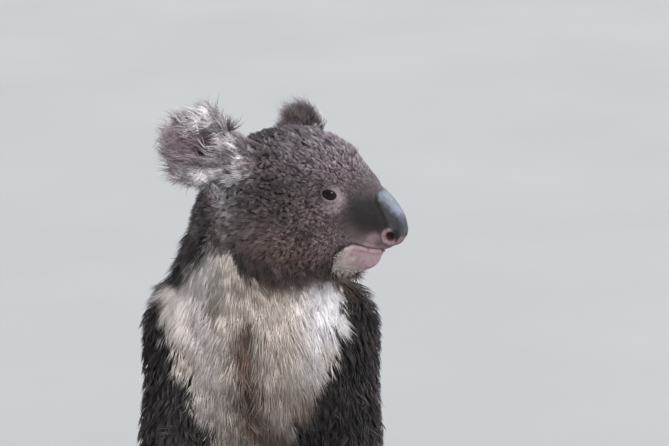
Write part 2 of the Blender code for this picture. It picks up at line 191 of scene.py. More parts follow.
class Surface:
    """A mesh held as arrays, with averages over each vertex's neighbours."""

    def __init__(self, mesh: Mesh) -> None:
        """Reads a mesh.

        Args:
            mesh: The mesh, which stays linked so that its normals can be asked for again.
        """
        self.mesh = mesh
        count = len(mesh.vertices)
        self.points = np.empty(count * 3)
        mesh.vertices.foreach_get("co", self.points)
        self.points = self.points.reshape(-1, 3)
        ends = np.empty(len(mesh.edges) * 2, np.int64)
        mesh.edges.foreach_get("vertices", ends)
        self.ends = ends.reshape(-1, 2)
        self.degree = np.maximum(np.bincount(ends, minlength=count), 1).astype(float)

    def average(self, values: Array) -> Array:
        """The mean of each vertex's neighbours.

        Args:
            values: A row for each vertex.

        Returns:
            The mean rows.
        """
        first, last = self.ends.T
        count = len(self.points)
        columns = [
            np.bincount(first, values[last, i], count) + np.bincount(last, values[first, i], count)
            for i in range(values.shape[1])
        ]
        return np.stack(columns, 1) / self.degree[:, None]

    def eased(self, values: Array, rounds: int, share: float = 0.5) -> Array:
        """The values after rounds of moving towards their neighbours' mean.

        Args:
            values: One number or one row for each vertex.
            rounds: How often they move.
            share: How far they move each time.

        Returns:
            The eased values.
        """
        flat = values.ndim == 1
        values = values[:, None] if flat else values
        for _ in range(rounds):
            values = values + share * (self.average(values) - values)
        return values[:, 0] if flat else values

    def fair(self, rounds: int, where: Array | None = None) -> None:
        """Smooths the shape and keeps its volume: each round draws it in and swells it again.

        Args:
            rounds: How often it is smoothed.
            where: How strongly at each vertex, or None for everywhere.
        """
        weight = 1.0 if where is None else where[:, None]
        for _ in range(rounds):
            for share in FAIRING:
                self.points += weight * share * (self.average(self.points) - self.points)

    def relax(self, rounds: int, where: Array) -> None:
        """Draws creases out of the shape, as strongly as is given for each vertex."""
        for _ in range(rounds):
            self.points += 0.5 * where[:, None] * (self.average(self.points) - self.points)

    def normals(self) -> Array:
        """Each vertex's normal, for the shape as it now is.

        Returns:
            A row for each vertex.
        """
        self.write()
        out = np.empty(len(self.points) * 3)
        self.mesh.vertex_normals.foreach_get("vector", out)
        return out.reshape(-1, 3)

    def write(self) -> None:
        """Puts the points back in the mesh."""
        self.mesh.vertices.foreach_set("co", self.points.ravel())
        self.mesh.update()


def store_attribute(mesh: Mesh, name: str, values: Array) -> None:
    """Stores one number for each vertex of a mesh."""
    layer = mesh.attributes.new(name, "FLOAT", "POINT")
    layer.data.foreach_set("value", np.ascontiguousarray(values, np.float32))


def new_object(name: str, data: ID) -> Object:
    """Links a mesh, a light or a camera into the scene as an object at the origin.

    Args:
        name: The object's name.
        data: What it shows.

    Returns:
        The object.
    """
    made = bpy.data.objects.new(name, data)
    bpy.context.scene.collection.objects.link(made)
    return made


def mesh_from(bm: BMesh, name: str) -> Mesh:
    """Ends a bmesh and returns it as a mesh.

    Args:
        bm: What is ended.
        name: The mesh's name.

    Returns:
        The mesh.
    """
    mesh = bpy.data.meshes.new(name)
    bm.to_mesh(mesh)
    bm.free()
    return mesh


def joined(parts: Iterable[BMesh], name: str, onto: Mesh | None = None) -> Mesh:
    """Ends several parts and returns them as one mesh.

    Args:
        parts: The parts, in order.
        name: The mesh's name.
        onto: A mesh that comes before them.

    Returns:
        The mesh of all of them.
    """
    whole = bmesh.new()
    if onto is not None:
        whole.from_mesh(onto)
    for part in parts:
        mesh = mesh_from(part, "part")
        whole.from_mesh(mesh)
        bpy.data.meshes.remove(mesh)
    return mesh_from(whole, name)


def shade_smooth(mesh: Mesh) -> None:
    """Makes every face of a mesh smooth."""
    mesh.polygons.foreach_set("use_smooth", np.ones(len(mesh.polygons), bool))


def voxelled(mesh: Mesh, size: float) -> Mesh:
    """One closed surface round all that a mesh holds.

    Args:
        mesh: Closed parts, which may overlap.
        size: The grid's cell.

    Returns:
        The surface, as a mesh of its own.
    """
    made = new_object("voxels", mesh)
    change = made.modifiers.new("voxels", "REMESH")
    change.mode = "VOXEL"
    change.voxel_size = size
    graph = bpy.context.evaluated_depsgraph_get()
    result = bpy.data.meshes.new_from_object(made.evaluated_get(graph))
    bpy.data.objects.remove(made)
    return result


def merged_copy(node: Object, swell: float = 0.0) -> BMesh:
    """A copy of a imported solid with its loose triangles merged.

    Args:
        node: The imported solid.
        swell: How far its surface moves outward.

    Returns:
        The copy.
    """
    bm = bmesh.new()
    bm.from_mesh(node.data)
    bmesh.ops.remove_doubles(bm, verts=bm.verts, dist=MERGE)
    bm.normal_update()
    for vertex in bm.verts:
        vertex.co += vertex.normal * swell
    return bm


# ---- the head's own frame
@dataclass(frozen=True)
class HeadFrame:
    """The frame of the head, +X forward, +Y left and +Z up, found from its two eyes."""

    yaw: float = math.radians(-28.0)
    pitch: float = math.radians(3.0)
    roll: float = math.radians(-7.0)
    eye: tuple = (0.0275, 0.0355, 0.0075)
    eye_radius: float = 0.0088
    design: tuple = (0.054, -0.026, 0.450)

    def turn(self) -> Matrix:
        """How the head is turned.

        Returns:
            A turn without a place.
        """
        return (
            Matrix.Rotation(self.yaw, 4, "Z")
            @ Matrix.Rotation(-self.pitch, 4, "Y")
            @ Matrix.Rotation(self.roll, 4, "X")
        )

    def matrix(self) -> Matrix:
        """From the head's own frame to the model's.

        Returns:
            The head's place and turn.
        """
        middles = [(low + high) / 2 for low, high in (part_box("eye_L"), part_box("eye_R"))]
        middle = (middles[0] + middles[1]) / 2
        turn = self.turn()
        return Matrix.Translation(middle - turn @ Vector((self.eye[0], 0, self.eye[2]))) @ turn

    def inside(self, points: Array) -> Array:
        """Points of the model in the head's frame."""
        frame = np.array(self.matrix())
        return (points - frame[:3, 3]) @ frame[:3, :3]

    def outside(self, points: Array) -> Array:
        """Points of the head's frame in the model's."""
        frame = np.array(self.matrix())
        return points @ frame[:3, :3].T + frame[:3, 3]

    def way(self, vectors: Array) -> Array:
        """Directions of the head's frame in the model's."""
        return vectors @ np.array(self.matrix())[:3, :3].T

    def facing(self, normals: Array) -> Array:
        """Normals of the model in the head's frame."""
        return normals @ np.array(self.matrix())[:3, :3]

    def shift(self) -> Array:
        """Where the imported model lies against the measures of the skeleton."""
        return np.array(self.matrix())[:3, 3] - np.array(self.design)


HEAD = HeadFrame()


@dataclass(frozen=True)
class Ear:
    """A pinna: a dish that opens forward and out."""

    side: float
    yaw: float = 0.45
    middle: tuple = (-0.066, 0.090, 0.046)
    drop: float = 0.0
    root: tuple = (-0.040, 0.046, 0.026)
    radius: float = 0.0290
    thick: float = 0.0085
    bowl: float = 0.0085
    reach: float = 0.0485
    least: float = 0.0205
    tilt: float = 0.30
    flat: float = 0.55
    root_radii: tuple = (0.019, 0.013)
    root_end: tuple = (-0.005, -0.012)

    def frame(self) -> Matrix:
        """The dish's frame inside the head's: +X is its open face.

        Returns:
            The dish's place and turn.
        """
        forward, left, up = self.middle
        place = Matrix.Translation((forward, left * self.side, up - self.drop))
        turn = Matrix.Rotation(self.yaw * self.side, 4, "Z") @ Matrix.Rotation(self.tilt * self.side, 4, "X")
        return place @ turn

    def places(self, head: Array, normals: Array) -> tuple[Array, ...]:
        """Where points lie on the dish.

        Args:
            head: Points in the head's frame.
            normals: Their normals in the head's frame.

        Returns:
            How far each lies in front of the dish, outward from its middle and above it, its
            distance from the middle as a share of the dish's radius, and how much it faces forward.
        """
        local = np.array(self.frame().inverted())
        spots = head @ local[:3, :3].T + local[:3, 3]
        facing = normals @ local[:3, :3].T
        ratio = np.hypot(spots[:, 1], spots[:, 2]) / self.radius
        return spots[:, 0], spots[:, 1] * self.side, spots[:, 2], ratio, facing[:, 0]

    def ways(self, out: Array, up: Array, facing: Array) -> Array:
        """Which way the ear's hair points: outward, and along the open face.

        Args:
            out: How far outward from the dish's middle each place is.
            up: How far above it.
            facing: How much it faces forward.

        Returns:
            Directions in the head's frame.
        """
        upright = np.where(up > 0, 0.40 + 0.60 * smoothstep(-0.004, -0.020, out), 0.85)
        radial = np.stack((-0.004 + 0 * out, out + 0.014, (up + 0.002) * upright), 1)
        open_face = np.stack((0.012 + 0 * out, 0.030 + 0 * out, up * np.where(up > 0, 0.30, 0.60)), 1)
        blend = smoothstep(0.1, 0.6, facing)[:, None]
        local = unit(radial) * (1 - blend) + unit(open_face) * blend
        local[:, 1] *= self.side
        return unit(local) @ np.array(self.frame())[:3, :3].T

    def dish(self) -> BMesh:
        """The dish and its root, in the model's frame.

        Returns:
            A closed mesh that the body's remesh joins on.
        """
        bm = bmesh.new()
        bmesh.ops.create_uvsphere(bm, u_segments=48, v_segments=32, radius=1.0)
        for vertex in bm.verts:
            x, y, z = vertex.co
            r = min(1.0, math.hypot(y, z))
            hollow = self.bowl * (1.0 if x > 0 else self.flat) * (1.0 - r * r)
            vertex.co = (x * self.thick * self.flat - hollow, y * self.radius, z * self.radius)
        bmesh.ops.transform(bm, matrix=self.frame(), verts=bm.verts)
        start = Vector((self.root[0], self.root[1] * self.side, self.root[2]))
        end = self.frame() @ Vector((self.root_end[0], self.root_end[1] * self.side, 0.0))
        way = end - start
        turn = way.to_track_quat("Z", "Y").to_matrix().to_4x4()
        bmesh.ops.create_cone(
            bm,
            cap_ends=True,
            segments=24,
            radius1=self.root_radii[0],
            radius2=self.root_radii[1],
            depth=way.length,
            matrix=Matrix.Translation((start + end) / 2) @ turn,
        )
        bmesh.ops.transform(bm, matrix=HEAD.matrix(), verts=bm.verts)
        return bm


EARS = {
    "L": Ear(side=1.0, yaw=1.10, drop=0.005, reach=0.045, least=0.0175),
    "R": Ear(side=-1.0),
}


# ---- the skin
@dataclass
class Skin:
    """One skin over the whole body, inside the solids by the depth of the coat."""

    nodes: Nodes
    grid: float = 0.0032
    overlap: float = 0.0005
    sinks: int = 3
    surface: Surface = field(init=False)
    marks: Marks = field(init=False)

    def flesh(self) -> Mesh:
        """All flesh but the ears, joined, with the eyes' sockets filled."""
        names = [name for name in (*FLESH, "eye_L", "eye_R") if not name.startswith("ear")]
        return joined([merged_copy(self.nodes[name], self.overlap) for name in names], "flesh")

    def region_weights(self, surface: Surface) -> Array:
        """How much each vertex belongs to each region.

        Args:
            surface: The surface to divide.

        Returns:
            A row for each vertex and a column for each region, summing to 1.
        """
        places, owners = [], []
        for name, region in FLESH.items():
            mesh = self.nodes[name].data
            spots = np.empty(len(mesh.polygons) * 3)
            mesh.polygons.foreach_get("center", spots)
            places.append(spots.reshape(-1, 3))
            owners += [region.value] * len(mesh.polygons)
        spots = np.concatenate(places)
        tree = KDTree(len(spots))
        for i, spot in enumerate(spots):
            tree.insert(spot, i)
        tree.balance()
        owner = [owners[tree.find(point)[1]] for point in surface.points]
        weights = np.eye(len(Region))[owner]
        return surface.eased(weights, 8)

    def sunk(self) -> Mesh:
        """The flesh as one surface, drawn in by the depth of the coat.

        Returns:
            A closed mesh.
        """
        body = Surface(voxelled(self.flesh(), self.grid))
        body.fair(10)
        depth = self.region_weights(body) @ np.array([LIES[region].depth for region in Region])
        depth *= self.face_thinning(HEAD.inside(body.points))
        depth = body.eased(depth, 6)
        for _ in range(self.sinks):
            ways = unit(body.eased(body.normals(), 2))
            body.points -= ways * (depth / self.sinks)[:, None]
        body.write()
        return body.mesh

    def with_face(self, skin: Surface) -> Surface:
        """The skin with its face on ever finer meshes: the slope first, then the folds.

        Args:
            skin: The skin without its face.

        Returns:
            The finer skin.
        """
        skin = self.refined(skin.mesh, FACE.wide)
        skin.fair(3, smoothstep(-0.005, 0.02, HEAD.inside(skin.points)[:, 0]))
        skin.write()
        skin = self.refined(skin.mesh, FACE.fine)
        skin.points = HEAD.outside(FACE.sloped(HEAD.inside(skin.points)))
        head = HEAD.inside(skin.points)
        skin.fair(4, smoothstep(0.020, 0.045, head[:, 0]))
        above_nose = smoothstep(0.030, 0.042, head[:, 0]) * bump(head[:, 2], 0.0150, 0.0085)
        skin.relax(36, above_nose)
        skin.write()
        skin = self.refined(skin.mesh, FACE.finest)
        FACE.shape(skin)
        skin.write()
        return skin

    def build(self) -> None:
        """Makes the skin's mesh, with its ears and its face, and its marks."""
        ears = [ear.dish() for ear in EARS.values()]
        skin = Surface(voxelled(joined(ears, "joined", onto=self.sunk()), self.grid))
        skin.fair(4)
        skin.write()
        self.surface = self.with_face(skin)
        self.marks = Marks(self.surface, self.region_weights(self.surface))

    def face_thinning(self, head: Array) -> Array:
        """The share of the head's coat depth that is left on the face."""
        near, brow = Place.THIN_FACE.on(head), Place.THIN_BROW.on(head)
        return (1.0 - 0.95 * smoothstep(0.12, 0.62, near)) * (1.0 - 0.75 * brow)

    def refined(self, mesh: Mesh, wanted: Callable[[Array], Array]) -> Surface:
        """A finer mesh in some places.

        Args:
            mesh: The mesh.
            wanted: Says which points of the head's frame need the finer mesh.

        Returns:
            The finer mesh's surface.
        """
        surface = Surface(mesh)
        chosen = wanted(HEAD.inside(surface.points))
        bm = bmesh.new()
        bm.from_mesh(mesh)
        bm.verts.ensure_lookup_table()
        edges = [e for e in bm.edges if chosen[e.verts[0].index] and chosen[e.verts[1].index]]
        bmesh.ops.subdivide_edges(bm, edges=edges, cuts=1, use_grid_fill=True)
        bmesh.ops.triangulate(bm, faces=[f for f in bm.faces if len(f.verts) > 4])
        return Surface(mesh_from(bm, "skin"))

    def dress(self) -> Object:
        """Turns the skin into its object, with its marks and its finish.

        Returns:
            The skin's object.
        """
        mesh = self.surface.mesh
        mesh.name = "skin"
        for name, values in self.marks.by_name.items():
            store_attribute(mesh, name, values)
        shade_smooth(mesh)
        made = new_object("skin", mesh)
        mesh.materials.clear()
        mesh.materials.append(SkinFinish().material())
        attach(made, "root")
        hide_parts(*FLESH)
        return made


@dataclass(frozen=True)
class Face:
    """The folds of the face: lids, lips, nostrils and nose, in the head's frame."""

    axis: tuple = (0.40, 0.90, 0.17)
    opening: tuple = (0.0045, 0.0025)
    opening_scale: float = 0.0043
    opening_tilt: float = 0.16
    opening_lift: float = 0.0008
    lid: float = 0.0009
    eye_area: tuple = (0.031, 0.041, 0.009)
    nostril_area: tuple = (0.073, 0.012, -0.029)
    inner_nostril: tuple = (0.071, 0.012, -0.032)
    front_fade: float = 0.034
    bridge_top: float = 0.028
    mouth_x: tuple = (0.014, 0.0232, 0.0282, 0.0313, 0.0342, 0.0378, 0.0414,
                      0.0459, 0.0493, 0.0535, 0.0566, 0.0597, 0.0630, 0.068)
    mouth_z: tuple = (-0.068, -0.0608, -0.0544, -0.0471, -0.0430, -0.0397, -0.0377,
                      -0.0363, -0.0372, -0.0388, -0.0405, -0.0420, -0.0425, -0.0432)
    nostril: tuple = (0.0755, 0.0132, -0.0300)
    nostril_radii: tuple = (0.0055, 0.0066, 0.0062)
    nostril_way: tuple = (0.41, 0.89, -0.20)
    slope_z: tuple = (-0.075, -0.068, -0.058, -0.050, -0.044, -0.038, -0.034, -0.031, -0.028,
                      -0.020, -0.010, -0.004, 0.0046, 0.0075, 0.010, 0.0115, 0.013, 0.015, 0.0165,
                      0.018, 0.020, 0.0225, 0.025, 0.030, 0.035, 0.040, 0.050)
    slope_back: tuple = (0.0, 0.0030, 0.0066, 0.0072, 0.0066, 0.0083, 0.0055, 0.0046, 0.0042, 0.0040, 0.0055,
                         0.0080, 0.0096, 0.0090, 0.0056, 0.0008, -0.0048, -0.0092, -0.0092, -0.0068, -0.0036,
                         -0.0008, 0.0001, -0.0001, -0.0001, -0.0040, -0.0016)
    front_x: tuple = (0.010, 0.040, 0.061, 0.066, 0.070, 0.083, 0.085, 0.086, 0.087, 0.087, 0.086,
                      0.0845, 0.079, 0.076, 0.0734, 0.070, 0.067, 0.062, 0.060, 0.056, 0.0505, 0.047, 0.0435,
                      0.038, 0.0315, 0.025, 0.008)
    leather_z: tuple = (-0.050, -0.0388, -0.0318, -0.0272, -0.0227, -0.0139, -0.0055,
                        0.0018, 0.0075, 0.0105, 0.014)
    leather_y: tuple = (-0.004, 0.0060, 0.0115, 0.0148, 0.0158, 0.0168, 0.0164,
                        0.0142, 0.0095, 0.0035, -0.004)

    def wide(self, head: Array) -> Array:
        """Where the face needs a fine mesh."""
        x, y, z = head.T
        return (x > 0.004) & (x < 0.12) & (z > -0.075) & (np.abs(y) < 0.06)

    def near_folds(self, head: Array, eye: float, nostril: float, hole: tuple) -> Array:
        """Where points lie close to an eye or a nostril.

        Args:
            head: Points in the head's frame.
            eye: How close to an eye.
            nostril: How close to a nostril.
            hole: The nostril's middle.

        Returns:
            True for each such point.
        """
        half = folded(head)
        eyes = np.linalg.norm(half - self.eye_area, axis=1) < eye
        return eyes | (np.linalg.norm(half - hole, axis=1) < nostril)

    def fine(self, head: Array) -> Array:
        """Where it needs a finer mesh: eyes, mouth and nostrils.

        Args:
            head: Points in the head's frame.

        Returns:
            True for each such point.
        """
        line = np.interp(head[:, 0], self.mouth_x, self.mouth_z)
        mouth = (np.abs(head[:, 2] - line) < 0.0045) & (head[:, 0] > 0.012) & (head[:, 0] < 0.075)
        return self.near_folds(head, 0.0135, 0.011, self.nostril_area) | mouth

    def finest(self, head: Array) -> Array:
        """The lids and the nostrils, once more."""
        return self.near_folds(head, 0.0105, 0.0085, self.inner_nostril)

    def sloped(self, head: Array) -> Array:
        """Draws the nose and the chin back to a straighter slope, and the bridge forward.

        Args:
            head: Points in the head's frame.

        Returns:
            The moved points.
        """
        back = np.interp(head[:, 2], self.slope_z, self.slope_back)
        front = np.interp(head[:, 2], self.slope_z, self.front_x)
        share = smoothstep(0.0, 1.0, (head[:, 0] - front + self.front_fade) / self.front_fade)
        bridge = (back < 0) & (head[:, 2] < self.bridge_top)
        share = share * np.where(bridge, smoothstep(0.034, 0.012, np.abs(head[:, 1])), 1.0)
        return head - (back * share)[:, None] * (1.0, 0.0, 0.0)

    def eye_places(self, head: Array, side: float) -> tuple[Array, ...]:
        """Where points lie about an eye.

        Args:
            head: Points in the head's frame.
            side: 1 for the left eye and -1 for the right one.

        Returns:
            How far each point is from the eye's middle, how far out along its axis, and how
            far outside the opening's edge, in metres.
        """
        x, y, z = HEAD.eye
        axis = Vector((self.axis[0], self.axis[1] * side, self.axis[2])).normalized()
        level = (Vector((1, 0, 0)) - axis * axis.x).normalized()
        up = (Vector((0, 0, 1)) - axis * axis.z - level * level.z).normalized()
        away = head - np.array((x, y * side, z))
        p, q = away @ np.array(level), away @ np.array(up)
        q = q + self.opening_tilt * p + self.opening_lift
        rho = np.hypot(p / self.opening[0], q / self.opening[1])
        return np.linalg.norm(away, axis=1), away @ np.array(axis), (rho - 1.0) * self.opening_scale

    def lids(self, head: Array) -> Array:
        """Opens the lids over both eyeballs.

        Args:
            head: Points in the head's frame.

        Returns:
            The moved points.
        """
        radius = HEAD.eye_radius
        for side in SIDES.values():
            away, out, edge = self.eye_places(head, side)
            x, y, z = HEAD.eye
            middle = np.array((x, y * side, z))
            rim = radius + self.lid - 0.0004 * bump(edge, 0.0032, 0.0008)
            blended = rim + (np.maximum(away, rim) - rim) * smoothstep(0.0010, 0.0080, edge)
            goal = np.where(edge < 0, radius - 0.0012, blended)
            goal = np.where((edge >= -0.0002) & (edge < 0.0005), radius + self.lid * 0.8, goal)
            near = (out > 0) & (edge < 0.0085)
            scale = np.where(near, goal / np.maximum(away, 1e-9), 1.0)
            head = middle + (head - middle) * scale[:, None]
        return head

    def shape(self, surface: Surface) -> None:
        """Moves the face's vertices into its folds.

        Args:
            surface: The skin, whose points are changed.
        """
        head = HEAD.inside(surface.points)
        normal = HEAD.facing(surface.normals())
        x, z = head[:, 0], head[:, 2]
        line = np.interp(x, self.mouth_x, self.mouth_z)
        on = smoothstep(0.014, 0.024, x) * (x > 0.010) * (normal[:, 0] > -0.7)
        groove = 0.0017 * bump(z, line, 0.0010) - 0.0008 * bump(z, line + 0.0030, 0.0017)
        groove -= 0.0007 * bump(z, line - 0.0030, 0.0020)
        push = -groove * on
        hole = self.nostrils(head)
        push -= 0.0060 * smoothstep(0.40, 0.75, hole)
        ring = np.exp(-(((np.sqrt(-np.log(np.maximum(hole, 1e-9))) - 1.25) / 0.30) ** 2))
        push += 0.0011 * ring
        edge = self.leather_edge(head)
        push += 0.0007 * smoothstep(-0.0008, 0.0010, edge) - 0.0006 * bump(edge, -0.0010, 0.0008)
        push -= 0.0006 * bump(head[:, 1], 0.0, 0.0012) * smoothstep(-0.028, -0.034, z) * (x > 0.06)
        head = head + normal * push[:, None]
        surface.points = HEAD.outside(self.lids(head))

    def nostrils(self, head: Array) -> Array:
        """How near to a nostril's middle line each point is, from 0 to 1.

        Args:
            head: Points in the head's frame.

        Returns:
            One number for each point.
        """
        half, way = folded(head), np.array(self.nostril_way)
        inward = np.minimum((half - self.nostril) @ way, 0.0)
        return blob(half - inward[:, None] * way, self.nostril, self.nostril_radii)

    def leather_edge(self, head: Array) -> Array:
        """How far inside the nose's leather each point is."""
        edge = np.interp(head[:, 2], self.leather_z, self.leather_y) - np.abs(head[:, 1])
        return np.where(head[:, 0] > 0.050, edge, -0.02)


FACE = Face()


class Place(Enum):
    """Soft places of the coat, each a middle and three radii.

    All but the rump are in the head's frame with its right half folded onto the left.
    """

    THROAT = (-0.010, 0.0, -0.072), (0.055, 0.06, 0.016)
    CHEEK = (-0.015, 0.055, -0.050), (0.045, 0.03, 0.022)
    SIDE_LOCK = (-0.060, 0.060, 0.006), (0.011, 0.020, 0.020)
    CROWN = (-0.045, 0.0, 0.055), (0.045, 0.060, 0.035)
    MUZZLE = (0.062, 0.020, -0.010), (0.031, 0.026, 0.023)
    MOUTH_CORNER = (0.0245, 0.034, -0.056), (0.009, 0.016, 0.010)
    NOSTRIL_SIDE = (0.0645, 0.0130, -0.0370), (0.0036, 0.006, 0.0048)
    EYE_PATCH = (0.0318, 0.0365, 0.0030), (0.0115, 0.016, 0.0140)
    TEMPLE = (-0.014, 0.058, 0.006), (0.038, 0.03, 0.028)
    UPPER_SIDE = (-0.024, 0.046, 0.040), (0.034, 0.030, 0.024)
    BROW = (0.008, 0.018, 0.046), (0.046, 0.040, 0.030)
    VELVET = (0.062, 0.0, -0.022), (0.046, 0.045, 0.042)
    RUMP = (0.045, 0.13, 0.085), (0.055, 0.06, 0.060)
    THIN_FACE = (0.060, 0, -0.030), (0.060, 0.060, 0.060)
    THIN_BROW = (0.018, 0, 0.048), (0.045, 0.040, 0.030)
    SHORT_MUZZLE = (0.062, 0.0, -0.020), (0.048, 0.045, 0.044)
    SHORT_BROW = (0.015, 0.0, 0.050), (0.045, 0.040, 0.030)
    JOWL = (-0.045, 0.062, -0.038), (0.036, 0.030, 0.036)
    CHIN_FOLD = (0.024, 0.026, -0.050), (0.012, 0.020, 0.012)

    def on(self, points: Array) -> Array:
        """How near each point is to the place, from 0 to 1."""
        return blob(points, *self.value)


@dataclass
class OnSkin:
    """Where every vertex of the skin lies on the head and on the body, and what it belongs to."""

    surface: Surface
    weights: Array
    points: Array = field(init=False)
    normals: Array = field(init=False)
    head: Array = field(init=False)
    half: Array = field(init=False)
    facing: Array = field(init=False)
    body: Array = field(init=False)
    on_head: Array = field(init=False)

    def __post_init__(self) -> None:
        """Reads the skin's vertices."""
        self.points, self.normals = self.surface.points, self.surface.normals()
        self.head, self.facing = HEAD.inside(self.points), HEAD.facing(self.normals)
        self.half = folded(self.head)
        self.body = self.points - HEAD.shift()
        self.on_head = self.share(Region.HEAD)

    def share(self, *regions: Region) -> Array:
        """How much each vertex belongs to any of the regions."""
        return self.weights[:, [region.value for region in regions]].sum(1)

    def near(self, place: Place) -> Array:
        """How near each vertex of the head is to a place, on either side."""
        return place.on(self.half) * self.on_head


@dataclass
class Marks(OnSkin):
    """Where the coat is pale, tawny, dark or bare, one number from 0 to 1 for each vertex; several marks also
    carry painted light and shade.
    """

    jaw_x: tuple = (-0.110, -0.090, -0.076, -0.0683, -0.0583, -0.054,
                    -0.0472, -0.0357, -0.0217, -0.003, 0.020)
    jaw_z: tuple = (-0.060, -0.048, -0.035, -0.0265, -0.031, -0.049,
                    -0.0625, -0.068, -0.070, -0.069, -0.066)
    bib_z: tuple = (0.11, 0.17, 0.215, 0.252, 0.277, 0.299, 0.318, 0.336, 0.354, 0.376,
                    0.397, 0.415, 0.44)
    bib_low: tuple = (-0.02, -0.03, -0.035, -0.044, -0.066, -0.073, -0.080, -0.091, -0.086, -0.068,
                      -0.053, -0.038, -0.028)
    bib_high: tuple = (0.02, 0.022, 0.024, 0.024, 0.036, 0.057, 0.070, 0.074, 0.073, 0.066,
                       0.058, 0.045, 0.03)
    parting_z: tuple = (0.25, 0.345)
    parting_x: tuple = (-0.004, -0.013)
    parting_wide_z: tuple = (0.27, 0.345)
    parting_wide: tuple = (0.0145, 0.0092)
    lip_x: tuple = (0.047, 0.0538, 0.0588, 0.0644, 0.0684, 0.0715, 0.080)
    lip_z: tuple = (-0.038, -0.030, -0.0275, -0.0255, -0.0290, -0.0330, -0.037)
    keel_x: tuple = (0.070, 0.0782, 0.0821, 0.084)
    keel_z: tuple = (-0.0398, -0.0340, -0.0293, -0.0250)
    # where the painted sheen lies on the nose's leather: its half-width at each height
    sheen_band_z: tuple = (-0.028, -0.016, -0.004, 0.008)
    sheen_band_y: tuple = (0.0090, 0.0090, 0.0115, 0.0165)
    front: Array = field(init=False)
    trunk: Array = field(init=False)
    mouth: Array = field(init=False)
    below: Array = field(init=False)
    chin: Array = field(init=False)
    patch: Array = field(init=False)
    bare: Array = field(init=False)
    by_name: dict[str, Array] = field(init=False)

    def __post_init__(self) -> None:
        """Works out every mark."""
        super().__post_init__()
        self.front = smoothstep(0.02, -0.35, self.normals[:, 1]) * smoothstep(0.08, 0.02, self.body[:, 1])
        self.trunk = self.share(Region.TRUNK, Region.NECK)
        self.mouth = np.interp(self.head[:, 0], FACE.mouth_x, FACE.mouth_z)
        self.below = smoothstep(0.0003, -0.0010, self.head[:, 2] - self.mouth)
        self.by_name = {name: np.clip(values, 0, 1) for name, values in self.all().items()}

    def all(self) -> dict[str, Array]:
        """Every mark by name.

        Returns:
            A number for each vertex.
        """
        inside, pale = self.bib()
        cleft = self.parting()
        self.chin, pink = self.chin_marks()
        leather, lip = self.nose_marks()
        rim_of_nose, nostril = self.nostril_marks()
        rims, margin = self.lid_marks()
        marked = self.near(Place.EYE_PATCH)
        self.patch = smoothstep(0.15, 0.80, np.maximum(marked, 0.9 * rims))
        self.bare = np.maximum(lip, 0.5 * rims)
        concha, white, fringe = self.ear_marks()
        velvet = smoothstep(0.25, 0.75, Place.VELVET.on(self.half))
        velvet = np.maximum(velvet, self.patch)
        side_lock = Place.SIDE_LOCK.on(self.half)
        side_lock *= smoothstep(-0.9, 0.3, waves(self.points, 0.009, 14))
        # white: the ears' white locks and the lock by each ear, with the painted light on the bib's lobes
        white = np.maximum(white * 0.80, self.painted_light_lobes(pale))
        # painted light: the brow's hair is drawn lighter, as the light on the upward-facing forehead
        brow = Place.BROW.on(self.half)
        return {
            "pale": np.maximum(np.maximum(pale * (1 - cleft), self.chin), 0.45 * self.mottle()),
            "pink": np.maximum.reduce((pink, rims * 0.48, self.patch * 0.16, lip * 0.50, rim_of_nose * 0.90)),
            "cover": 1 - np.maximum.reduce((leather, lip, rims, pink, 0.8 * velvet, 0.6 * concha)),
            "tawny": self.tawny(inside, pale, cleft),
            "dark": self.dark(cleft, rims),
            "leather": leather * (1 - rim_of_nose),
            "concha": concha,
            "white": np.maximum(white, 0.7 * side_lock * self.on_head),
            # light: lighter hair of the ear fringe and the eye patch, painted light on the brow, and the
            # painted sheen on the nose's ridge
            "light": np.maximum.reduce(
                (0.95 * brow * self.on_head, 0.75 * fringe, 0.9 * self.patch, self.painted_ridge_sheen(leather))
            ),
            # margin: the lids' and the mouth's dark edges, with painted shade inside the nostrils and beside
            # them
            "margin": np.maximum(np.maximum(margin, self.mouth_line()), smoothstep(0.40, 0.75, nostril)),
        }

    def bib(self) -> tuple[Array, Array]:
        """How far inside the bib's ragged edge each vertex is, and how pale it is there.

        Returns:
            The distance in metres and the paleness for each vertex.
        """
        x, _, z = self.body.T
        ragged = 0.006 * waves(self.points, 0.03, 5) + 0.003 * waves(self.points, 0.009, 6)
        low = np.interp(z, self.bib_z, self.bib_low)
        high = np.interp(z, self.bib_z, self.bib_high)
        inside = np.minimum(x - low, high - x) + ragged - 0.004
        fronts = self.share(Region.TRUNK, Region.NECK, Region.ARM)
        pale = smoothstep(-0.003, 0.004, inside) * self.front * (fronts + self.on_head)
        pale *= smoothstep(0.05, 0.11, z)
        jaw = np.interp(self.head[:, 0], self.jaw_x, self.jaw_z) + 0.003 * waves(self.points, 0.010, 12)
        pale *= smoothstep(0.003, -0.004, self.head[:, 2] - jaw)
        return inside, pale

    def parting(self) -> Array:
        """The parting down the middle of the bib, drawn dark as painted shade in its fold.

        Returns:
            A number for each vertex.
        """
        x, _, z = self.body.T
        middle = np.interp(z, self.parting_z, self.parting_x) + 0.0015 * waves(self.points, 0.02, 22)
        cleft = bump(x, middle, np.interp(z, self.parting_wide_z, self.parting_wide))
        return cleft * (smoothstep(0.366, 0.345, z) * smoothstep(0.235, 0.26, z))

    def painted_light_lobes(self, pale: Array) -> Array:
        """Painted light: the bib's hair made whitest high on both sides, most on the side towards the lamps,
        as the light falling on the upper chest.

        Args:
            pale: How pale the bib is.

        Returns:
            A number for each vertex.
        """
        x, _, z = self.body.T
        painted_light_lobes = smoothstep(0.014, 0.050, x) + 0.45 * smoothstep(-0.020, -0.045, x)
        limit = np.where(x > 0, 0.285, 0.255)
        return painted_light_lobes * smoothstep(0.0, 0.035, z - limit) * pale * self.trunk

